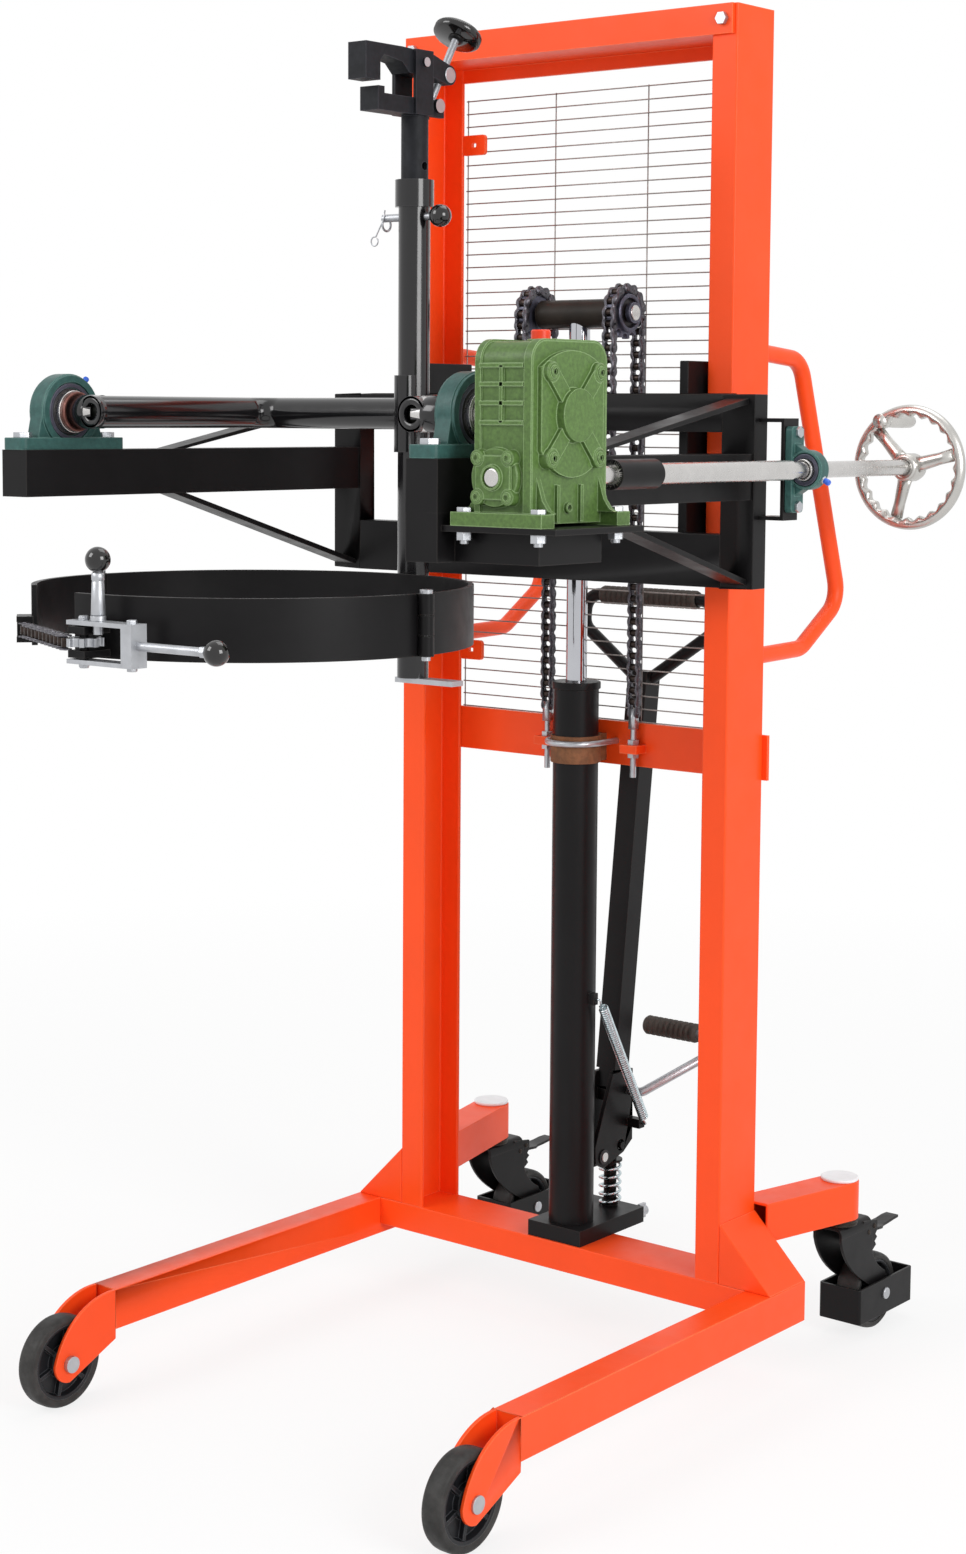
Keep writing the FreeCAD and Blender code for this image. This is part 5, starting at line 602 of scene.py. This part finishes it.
def caster(side, middle):
    """A pressed caster yoke: folded edges, race, toothed pedal ears, axle with heads, open toe guard."""
    swivel, axle_y, axle_z = 0.2506, 0.3426, 0.065
    inside, outside, top, fold = 0.023, 0.028, 0.204, 0.012
    front, back, seam = swivel - 0.036, swivel + 0.062, top - 0.018
    piece = Piece(side + "_caster_yoke")

    def folded(reach, radius):
        """One skin of the folded top's section, as height and reach from edge to edge."""
        turn = TURN / 4.0
        return ([(seam, -reach)] + circle(radius, 6, (top - fold, fold - outside), -turn, turn)
                + circle(radius, 6, (top - fold, outside - fold), 0.0, turn) + [(seam, reach)])

    section = folded(outside, fold) + list(reversed(folded(inside, fold - outside + inside)))
    piece.prism(section, front, back, BLACK, facing("Y", middle, 0.0, 0.0))
    cheek = ([(back, seam + 0.001), (front, seam + 0.001)]
             + curve((front, seam - 0.004), (front + 0.014, 0.128), (axle_y - 0.034, 0.086))
             + [(axle_y - 0.026, 0.038), (axle_y + 0.022, 0.038), (axle_y + 0.024, 0.086)]
             + curve((axle_y + 0.018, 0.098), (axle_y - 0.03, 0.124), (back + 0.004, seam - 0.028)))
    teeth = ((0.036, top - 0.003), (0.082, top - 0.01), (0.082, 0.176), (0.076, 0.17), (0.082, 0.164),
             (0.074, 0.158), (0.079, 0.151), (0.066, 0.143), (0.04, 0.152))
    ear = [(swivel + y, z) for y, z in teeth]
    rivet = ((0.0042, inside), (0.0042, outside + 0.001), (0.003, outside + 0.002))
    head = ((0.01, 0.0395), (0.01, 0.0425), (0.0086, 0.0437))
    for way in (-1.0, 1.0):
        wall = facing("X", middle, 0.0, 0.0)
        piece.prism(cheek, way * inside, way * outside, BLACK, wall)
        piece.prism(ear, way * (inside + 0.0004), way * (outside - 0.0004), BLACK, wall)
        for y, z in ((swivel + 0.054, 0.178), (swivel + 0.072, 0.185)):
            piece.lathe(on_side(rivet, way), OXIDE, facing("X", middle, y, z), 16)
        piece.lathe(on_side(head, way), ZINC, facing("X", middle, axle_y, axle_z), 24)
    piece.lathe([(0.0079, -0.0398), (0.0079, 0.0398)], ZINC, facing("X", middle, axle_y, axle_z), 24)
    race = [(0.0315, top - 0.001), (0.0315, top + 0.0025), (0.0292, top + 0.004), (0.0315, top + 0.0055),
            (0.0315, top + 0.0086)]
    piece.lathe(race, OXIDE, facing("Z", middle, swivel, 0.0), 44)
    rings = []
    for inset, height in ((0.0, 0.03), (0.0, 0.09), (0.005, 0.09), (0.005, 0.03)):
        x, near, far = 0.04 - inset, swivel + 0.006 + inset, swivel + 0.182 - inset
        corners = [(middle - x, near), (middle + x, near), (middle + x, far), (middle - x, far)]
        rings.append([(a, b, height) for a, b in rounded(corners, 0.0055 - inset)])
    piece.rings(rings, BLACK, closed=True)
    piece.show(side + "_caster", "black_paint", (side + "_caster_fork",), 0.0008)


def brake(side, middle):
    """A waved pedal plate that narrows to a tongue, with its eye on the yoke's pivot."""
    piece = Piece(side + "_brake_plate")
    rings = []
    thick = 0.0024
    stations = ((0.316, 0.1705, 0.019), (0.334, 0.1733, 0.02), (0.35, 0.1722, 0.02),
                (0.364, 0.1708, 0.0195), (0.376, 0.1706, 0.014), (0.394, 0.1712, 0.013),
                (0.414, 0.1732, 0.013), (0.43, 0.1734, 0.012))
    for y, z, half in stations:
        left, right, under, over = middle - half, middle + half, z - thick, z + thick
        rings.append([(left, y, under), (right, y, under), (right, y, over), (left, y, over)])
    piece.rings(rings, BLACK)
    piece.block((middle - 0.0175, 0.3172, 0.16), (middle + 0.0175, 0.328, 0.1712), BLACK)
    piece.lathe([(0.0064, -0.02), (0.0118, -0.02), (0.0118, 0.02), (0.0064, 0.02)], BLACK,
                facing("X", middle, 0.3226, 0.158), 28, closed=True)
    piece.show(side + "_brake", "black_paint", (side + "_brake_pedal",), 0.0008)


def masts():
    """Rolled channels with rounded corners, open to the inside, and the eyes that hold the wire guard."""
    outer, lip, half, wall, low, high = 0.336, 0.289, 0.052, 0.007, 0.166, 2.186
    piece = Piece("mast_channels")
    for way in (-1.0, 1.0):
        corners = [(lip, -half), (outer, -half), (outer, half), (lip, half), (lip, half - wall),
                   (outer - wall, half - wall), (outer - wall, wall - half), (lip, wall - half)]
        section = rounded(corners, 0.0028, 4)
        piece.prism([(way * x, y) for x, y in section], low, high, ORANGE, Matrix.Identity(4))
        for level in (1.146, 2.013):
            eye = Vector((level, way * (lip - 0.0245)))
            plate = [Vector(spot) for spot in rounded(
                [(level - 0.017, way * (lip + 0.001)), (level + 0.017, way * (lip + 0.001)),
                 (level + 0.017, way * (lip - 0.049)), (level - 0.017, way * (lip - 0.049))], 0.006, 6)]
            hole = [eye + (spot - eye).normalized() * 0.005 for spot in plate]
            piece.rings([[(*spot, depth) for spot in ring] for ring, depth in
                         ((plate, 0.046), (plate, half), (hole, half), (hole, 0.046))], ORANGE,
                        facing("Y"), closed=True)
    piece.show("frame", "orange_paint", ("masts",), 0.0008)


gearbox()
pillow_blocks()
handwheel()
masts()
for side, middle in (("left", -0.376), ("right", 0.376)):
    road_wheel(side + "_front_wheel", side + "_front_wheel", 0.0105)
    road_wheel(side + "_caster_wheel", side + "_caster_wheel", 0.0105)
    caster(side, middle)
    brake(side, middle)


def bend(points, radius, steps=6):
    """A path through points with its inner corners rounded."""
    points = [Vector(point) for point in points]
    path = [points[0]]
    for before, corner, after in zip(points, points[1:], points[2:]):
        back, ahead = (before - corner).normalized(), (after - corner).normalized()
        reach = radius / math.tan(back.angle(ahead) / 2.0)
        first, last = corner + back * reach, corner + ahead * reach
        for step in range(steps + 1):
            share = step / steps
            path.append(first.lerp(corner, share).lerp(corner.lerp(last, share), share))
    return path + [points[-1]]


PITCH = 0.01905
TEETH = 13
WRAP_R = 0.0398
HEAD_Z = 1.72
CHAIN_X = (-0.09, 0.09)


def chain(piece, joints, pin, first=0):
    """Roller chain: a roller and a pin on every joint, waisted plates inside and outside in turn."""
    half, waist, bow = PITCH / 2.0, 0.0058, math.radians(104.0)
    plate = (circle(0.0084, 10, (half, 0.0), -bow, 2.0 * bow) + [(0.0, waist)]
             + circle(0.0084, 10, (-half, 0.0), math.pi - bow, 2.0 * bow) + [(0.0, -waist)])
    pin = Vector(pin)
    for number, (here, there) in enumerate(zip(joints, joints[1:])):
        along = (there - here).normalized()
        turn = Matrix((along, pin.cross(along), pin)).transposed().to_4x4()
        link = Matrix.Translation((here + there) / 2.0) @ turn
        low, high = (0.0064, 0.0082) if (number + first) % 2 else (0.0083, 0.01)
        for way in (-1.0, 1.0):
            piece.prism(plate, way * low, way * high, CHAIN, link)
    roller = [(0.0056, -0.0063), (0.0059, -0.0058), (0.0059, 0.0058), (0.0056, 0.0063)]
    rivet = [(0.002, -0.0108), (0.0029, -0.0104), (0.0029, 0.0104), (0.002, 0.0108)]
    for joint in joints:
        place = aimed(joint, joint + pin)
        piece.lathe(roller, ROLLER, place, 14)
        piece.lathe(rivet, CHAIN, place, 10)


def lift_chains():
    """Two chains from the mid beam over the chain wheels to the carriage."""
    anchor = Piece("anchor_chain_links")
    wrap = Piece("wrap_chain_links")
    run = Piece("carriage_chain_links")
    arc = circle(WRAP_R, 6, (0.0, 0.0), TURN / (2.0 * TEETH), TURN * 6.0 / TEETH)
    half, deep = 0.006, 0.0065
    for x in CHAIN_X:
        rising = [Vector((x, WRAP_R, HEAD_Z - PITCH * (n + 0.5))) for n in range(35)]
        falling = [Vector((x, -WRAP_R, HEAD_Z - PITCH * n)) for n in range(1, 17)]
        over = [Vector((x, y, HEAD_Z + z)) for y, z in arc]
        chain(anchor, rising, (1.0, 0.0, 0.0))
        chain(wrap, rising[:1] + over + falling[:1], (1.0, 0.0, 0.0), 1)
        chain(run, falling, (1.0, 0.0, 0.0), 1)
        for piece, end, foot in ((anchor, rising[-1], 1.036), (run, falling[-1], 1.39)):
            piece.block((x - half, end.y - deep, foot), (x + half, end.y + deep, end.z + deep), ZINC)
    item = anchor.show(None, "dark_chain", ("anchor_chain_runs",), 0)
    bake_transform(item)
    wrap.show("crosshead", "dark_chain", ("chain_wraps",), 0)
    item = run.show(None, "dark_chain", ("carriage_chain_runs",), 0)
    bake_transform(item)


def drum_chain():
    """Chain from the left ring arm to the latch wheel."""
    start, end = Vector((-0.1906, -1.0384, LATCH_Z)), Vector((0.009, -1.1368, LATCH_Z))
    step = (start - end).normalized() * PITCH
    piece = Piece("drum_chain_links")
    chain(piece, [end + step * n for n in range(12)], (0.0, 0.0, 1.0))
    piece.show("left_ring_arm", "dark_chain", ("ring_chain",), 0)


def chain_wheel_faces():
    """Stepped hubs of the chain wheels and the ends of their pin."""
    hubs, ends = Piece("chain_wheel_hubs"), Piece("wheel_pin_ends")
    place = facing("X", 0.0, 0.0, HEAD_Z)
    hub = [(0.0308, 0.0945), (0.0308, 0.102), (0.0292, 0.1034), (0.0252, 0.1034), (0.024, 0.102),
           (0.024, 0.0945)]
    seal = [(0.0242, 0.095), (0.0242, 0.0972), (0.0168, 0.099), (0.0128, 0.099), (0.0128, 0.095)]
    pin = [(0.0124, 0.111), (0.0124, 0.113), (0.0108, 0.1142)]
    for way in (-1.0, 1.0):
        hubs.lathe(on_side(hub, way), SPROCKET, place, 44, closed=True)
        hubs.lathe(on_side(seal, way), SEAL, place, 44, closed=True)
        ends.lathe(on_side(pin, way), BRIGHT, place, 32)
    hubs.show("chain_wheels", "dark_chain", bevel=0.0004)
    ends.show("crosshead", "zinc_steel", bevel=0.0003)


def wire_guard():
    """Welded guard: closely spaced cross wires on four uprights."""
    low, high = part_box("wire_guard")
    radius = (high[1] - low[1]) / 2.0
    y = (low[1] + high[1]) / 2.0
    piece = Piece("guard_wires")
    rows, columns = 48, 3
    for row in range(rows + 1):
        z = low[2] + radius + (high[2] - low[2] - 2.0 * radius) * row / rows
        piece.tube([(low[0], y - 0.0008, z), (high[0], y - 0.0008, z)], 0.55 * radius, WIRE, 8)
    for column in range(columns + 1):
        x = low[0] + radius + (high[0] - low[0] - 2.0 * radius) * column / columns
        piece.tube([(x, y + 0.0008, low[2]), (x, y + 0.0008, high[2])], 0.55 * radius, WIRE, 8)
    piece.show("frame", "zinc_steel", ("wire_guard",), 0)


def coil(start, end, radius, turns, steps=18):
    """Points of a coil from start to end."""
    place = aimed(start, end)
    length = (Vector(end) - Vector(start)).length
    count = int(turns * steps)
    points = []
    for n in range(count + 1):
        angle = TURN * n / steps
        spot = Vector((radius * math.cos(angle), radius * math.sin(angle), length * n / count))
        points.append(place @ spot)
    return points


def springs():
    """The plunger's open coil and the lever's close-wound pull spring with hooked ends."""
    foot, head = (0.0, 0.112, 0.1955), (0.0, 0.112, 0.2675)
    piece = Piece("plunger_coil")
    piece.tube(coil(foot, head, 0.0175, 5.0, 28), 0.0025, SPRING, 10)
    item = piece.show(None, "zinc_steel", ("plunger_spring",), 0)
    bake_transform(item)

    head, foot = Vector((0.0572, 0.0, 0.58)), Vector((0.0572, 0.1373, 0.338))
    way = (foot - head).normalized()
    top, bottom = head + way * 0.016, foot - way * 0.016
    wound = coil(top, bottom, 0.007, 57.0)
    aside = Vector((-0.013, 0.0, 0.0))
    hook_a = bend([head + aside, head, top.lerp(wound[0], 0.6), wound[0]], 0.003, 3)
    hook_b = bend([wound[-1], bottom.lerp(wound[-1], 0.6), foot, foot + aside], 0.003, 3)
    piece = Piece("pull_coil")
    piece.tube(hook_a + wound[1:-1] + hook_b, 0.0018, SPRING, 8)
    item = piece.show(None, "zinc_steel", ("pull_spring",), 0)
    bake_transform(item)


def clamp_screw():
    """Threaded screw with a knurled hand knob."""
    nut, way = Vector((0.0, -0.359, 2.068)), Vector((0.0, 0.029, 0.049)).normalized()
    place = aimed(nut, nut + way)
    low, neck, top, radius = -0.0596, 0.07, 0.084, 0.0378
    piece = Piece("threaded_clamp_screw")
    piece.lathe([(0.004, low), (0.0051, low + 0.001), (0.0051, neck + 0.002)], ZINC, place, 20)
    thread = coil(nut + way * (low + 0.002), nut + way * neck, 0.0049, 60.0, 12)
    piece.tube(thread, 0.0011, ZINC, 6)
    piece.lathe([(0.0085, neck - 0.004), (0.012, neck - 0.003), (0.012, neck + 0.002)], BLACK, place, 28)
    teeth = 72
    rings = []
    for height, inset in ((neck, 0.0035), (neck + 0.0025, 0.0), (top - 0.0025, 0.0), (top, 0.0035)):
        ring = []
        for n in range(2 * teeth):
            reach = radius - inset - (0.0013 if n % 2 else 0.0)
            angle = TURN * n / (2 * teeth)
            ring.append((reach * math.cos(angle), reach * math.sin(angle), height))
        rings.append(ring)
    piece.rings(rings, BAKELITE, place)
    piece.show("clamp_screw", "zinc_steel", ("clamp_screw",), 0)

    pins = Piece("jaw_nut_ends")
    end = [(0.0118, 0.0172), (0.0118, 0.019), (0.0106, 0.0198)]
    for side in (-1.0, 1.0):
        pins.lathe(on_side(end, side), ZINC, facing("X", *nut), 32)
    pins.show("upper_jaw", "zinc_steel", bevel=0.0003)


def groove(at, outer, inner, mouth, floor):
    """Four points of a groove across a turned sleeve."""
    return [(outer, at - mouth), (inner, at - floor), (inner, at + floor), (outer, at + mouth)]


def lever_grip():
    """Grooved rubber sleeve on the pump lever's loop."""
    low, high = (Vector(corner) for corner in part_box("lever_grip"))
    middle = (low + high) / 2.0
    radius, length, grooves = (high.z - low.z) / 2.0, high.x - low.x, 16
    profile = [(0.0112, 0.0), (0.88 * radius, 0.0), (radius, 0.004)]
    for n in range(grooves):
        at = 0.01 + (length - 0.02) * (n + 0.5) / grooves
        profile += groove(at, radius, 0.9 * radius, 0.0028, 0.0018)
    profile += [(radius, length - 0.004), (0.88 * radius, length), (0.0112, length)]
    piece = Piece("grooved_lever_grip")
    piece.lathe(profile, RUBBER, facing("X", low.x, middle.y, middle.z), 36, closed=True)
    piece.show("pump_rocker", "grip_rubber", ("lever_grip",), 0)


def foot_pedal():
    """Bent foot bar with a ribbed rubber."""
    piece = Piece("ribbed_foot_pedal")
    path = bend([(0.0225, 0.1313, 0.394), (0.05, 0.1313, 0.394), (0.118, 0.228, 0.45),
                 (0.118, 0.24, 0.484), (-0.011, 0.24, 0.484)], 0.014)
    piece.tube(path, 0.0079, ZINC, 18)
    left, right, ribs = -0.016, 0.092, 9
    profile = [(0.0082, right), (0.015, right), (0.0168, right - 0.004)]
    for n in range(ribs):
        at = right - 0.006 - (right - left - 0.012) * (n + 0.5) / ribs
        profile += groove(at, 0.0168, 0.0152, -0.0032, -0.002)
    profile += [(0.0168, left + 0.004), (0.014, left), (0.0, left)]
    piece.lathe(profile, RUBBER, facing("X", 0.0, 0.24, 0.484), 32)
    piece.show("pump_rocker", "grip_rubber", ("foot_pedal",), 0)


def tilt_frame_ends():
    """Rings closing the yoke pipes with a dark disc of painted shade in each mouth, sleeves on their stubs
    and the bearings' locking collars.
    """
    piece = Piece("yoke_end_rings")
    ring = [(0.0238, 0.0), (0.0242, 0.001), (0.0242, 0.012), (0.0125, 0.012), (0.0125, 0.0008),
            (0.0133, 0.0)]
    sleeve = [(0.0252, 0.33), (0.0256, 0.332), (0.0256, 0.366), (0.025, 0.3665)]
    collar = [(0.0252, 0.366), (0.0292, 0.3662), (0.03, 0.367), (0.03, 0.3738), (0.0252, 0.3738)]
    stub = facing("X", 0.0, TILT_Y, TILT_Z)
    for side in (-1.0, 1.0):
        mouth = facing("Y", side * 0.314, -0.794, TILT_Z)
        piece.lathe(ring, GLOSSY, mouth, 40, closed=True)
        # Dark disc of painted shade inside the pipe mouth.
        piece.lathe([(0.013, 0.009), (0.013, 0.011)], SHADE, mouth, 28)
        piece.lathe(on_side(sleeve, side), GLOSSY, stub, 40)
        piece.lathe(on_side(collar, side), COLLAR, stub, 40, closed=True)
    piece.show("tilt_frame", "black_paint", bevel=0)


def latch_fittings():
    """Bolt heads on the latch yoke, and the collars of its two handles."""
    piece = Piece("latch_yoke_bolts")
    across, height, seat = 0.0125, 0.0052, 0.0288
    flip = Matrix.Rotation(math.pi, 4, "X")
    for x in (0.02, 0.112):
        piece.hexagon(across, height, ZINC, facing("Z", x, LATCH_Y, LATCH_Z + seat))
        piece.hexagon(across, height, ZINC, facing("Z", x, LATCH_Y, LATCH_Z - seat) @ flip)
    piece.lathe([(0.007, 0.239), (0.008, 0.24), (0.008, 0.2485), (0.007, 0.2495)], ZINC,
                facing("X", 0.0, LATCH_Y, LATCH_Z), 6)
    piece.show("latch_lever", "zinc_steel", bevel=0.0004)
    handle = Piece("latch_pawl_sleeve")
    sleeve = [(0.0092, 1.2885), (0.0098, 1.2895), (0.0082, 1.333), (0.0074, 1.334), (0.0086, 1.335),
              (0.0086, 1.344), (0.0074, 1.345)]
    handle.lathe(sleeve, ZINC, facing("Z", 0.048, LATCH_Y, 0.0), 20)
    handle.show("latch_pawl", "zinc_steel", bevel=0)


def rocker_pins():
    """Snap rings and bright ends of the pump's two pins, and the lock pin's spring clip."""
    piece = Piece("rocker_snap_rings")
    snap = [(0.0079, 0.0221), (0.0128, 0.0221), (0.0128, 0.0243), (0.0079, 0.0243)]
    end = [(0.0081, 0.023), (0.0081, 0.0258), (0.007, 0.0264)]
    pivot = facing("X", 0.0, 0.062, 0.291)
    for side in (-1.0, 1.0):
        piece.lathe(on_side(snap, side), SEAL, pivot, 32, closed=True)
        piece.lathe(on_side(end, side), BRIGHT, pivot, 28)
    piece.show("pump_rocker", "zinc_steel", bevel=0.0002)
    clip = Piece("lock_clip_wire")
    y = POST_Y - 0.0066
    ring = circle(0.007, 14, (-0.0745, 1.8175), math.radians(70.0), TURN * 0.92)
    loop = [(x, y, z) for x, z in ring]
    clip.tube([(-0.0535, y, 1.864), (-0.056, y, 1.85), (-0.065, y, 1.836)] + loop, 0.0011, ZINC, 8)
    clip.show("lock_pin", "zinc_steel", bevel=0)


lift_chains()
drum_chain()
chain_wheel_faces()
wire_guard()
springs()
clamp_screw()
lever_grip()
foot_pedal()
tilt_frame_ends()
latch_fittings()
rocker_pins()


def stage():
    """A pale floor that keeps the shadow, and a white surround."""
    mesh = bpy.data.meshes.new("floor")
    reach = 14.0
    corners = [(-reach, -reach, 0.0), (reach, -reach, 0.0), (reach, reach, 0.0), (-reach, reach, 0.0)]
    mesh.from_pydata(corners, [], [(0, 1, 2, 3)])
    floor = bpy.data.objects.new("floor", mesh)
    bpy.context.collection.objects.link(floor)
    material = bpy.data.materials.new("floor_white")
    material.use_nodes = True
    tree = material.node_tree
    tree.nodes.clear()
    sheet = tree.nodes.new("ShaderNodeBsdfDiffuse")
    settle(sheet, Color=(0.93, 0.93, 0.93, 1.0))
    glow = tree.nodes.new("ShaderNodeEmission")
    settle(glow, Color=(1.0, 1.0, 1.0, 1.0))
    distance = tree.nodes.new("ShaderNodeVectorMath")
    distance.operation = "LENGTH"
    tree.links.new(tree.nodes.new("ShaderNodeTexCoord").outputs["Object"], distance.inputs[0])
    fade = tree.nodes.new("ShaderNodeMapRange")
    settle(fade, From_Min=1.0, From_Max=4.0, To_Min=0.8)
    tree.links.new(distance.outputs["Value"], fade.inputs["Value"])
    seen = tree.nodes.new("ShaderNodeMath")
    seen.operation = "MULTIPLY"
    tree.links.new(seen_directly(tree), seen.inputs[0])
    tree.links.new(fade.outputs["Result"], seen.inputs[1])
    mix = tree.nodes.new("ShaderNodeMixShader")
    tree.links.new(seen.outputs[0], mix.inputs["Fac"])
    tree.links.new(sheet.outputs[0], mix.inputs[1])
    tree.links.new(glow.outputs[0], mix.inputs[2])
    tree.links.new(mix.outputs[0], tree.nodes.new("ShaderNodeOutputMaterial").inputs["Surface"])
    mesh.materials.append(material)


def seen_directly(tree):
    """1 for rays from the camera and for mirrored or refracted ones."""
    path = tree.nodes.new("ShaderNodeLightPath")
    total = path.outputs["Is Camera Ray"]
    for kind in ("Is Glossy Ray", "Is Transmission Ray"):
        larger = tree.nodes.new("ShaderNodeMath")
        larger.operation = "MAXIMUM"
        tree.links.new(total, larger.inputs[0])
        tree.links.new(path.outputs[kind], larger.inputs[1])
        total = larger.outputs[0]
    return total


def surround(ambient):
    """White where it is seen, and an even soft light where it only lights the object."""
    world = bpy.data.worlds.new("surround")
    bpy.context.scene.world = world
    world.use_nodes = True
    tree = world.node_tree
    spread = tree.nodes.new("ShaderNodeMapRange")
    settle(spread, To_Min=ambient, To_Max=1.0)
    tree.links.new(seen_directly(tree), spread.inputs["Value"])
    back = tree.nodes["Background"]
    settle(back, Color=(1.0, 1.0, 1.0, 1.0))
    tree.links.new(spread.outputs["Result"], back.inputs["Strength"])


def lamp(name, place, target, power, width):
    """A square soft light turned to a point."""
    data = bpy.data.lights.new(name, "AREA")
    data.energy = power
    data.size = width
    item = bpy.data.objects.new(name, data)
    item.location = place
    item.rotation_euler = (Vector(target) - Vector(place)).to_track_quat("-Z", "Y").to_euler()
    bpy.context.collection.objects.link(item)


def camera():
    """The photograph's view: place, aim, tilt, focal length in pixels and the shifted frame."""
    wide, high = 966.0, 1554.0
    focal, horizon = 2595.9, 114.3
    azimuth, down, roll = (math.radians(value) for value in (38.93, 5.509, 0.369))
    data = bpy.data.cameras.new("camera")
    data.sensor_fit = "VERTICAL"
    data.sensor_height = 24.0
    data.sensor_width = data.sensor_height * wide / high
    data.lens = data.sensor_height * focal / high
    data.shift_y = -horizon / high
    item = bpy.data.objects.new("camera", data)
    aim = Matrix.Rotation(azimuth, 4, "Z") @ Matrix.Rotation(math.pi / 2.0 - down, 4, "X")
    item.matrix_world = Matrix.Translation((2.585, -3.448, 1.558)) @ aim @ Matrix.Rotation(roll, 4, "Z")
    bpy.context.collection.objects.link(item)
    bpy.context.scene.camera = item


stage()
surround(0.55)
lamp("key_light", (-2.2, -4.6, 4.2), (0.0, -0.3, 1.1), 120.0, 2.6)
lamp("side_light", (4.6, -1.4, 2.6), (0.0, -0.2, 1.0), 120.0, 2.2)
lamp("top_light", (0.3, 0.8, 4.8), (0.0, -0.2, 1.0), 38.0, 2.4)
camera()
bpy.context.scene.view_settings.view_transform = "Standard"
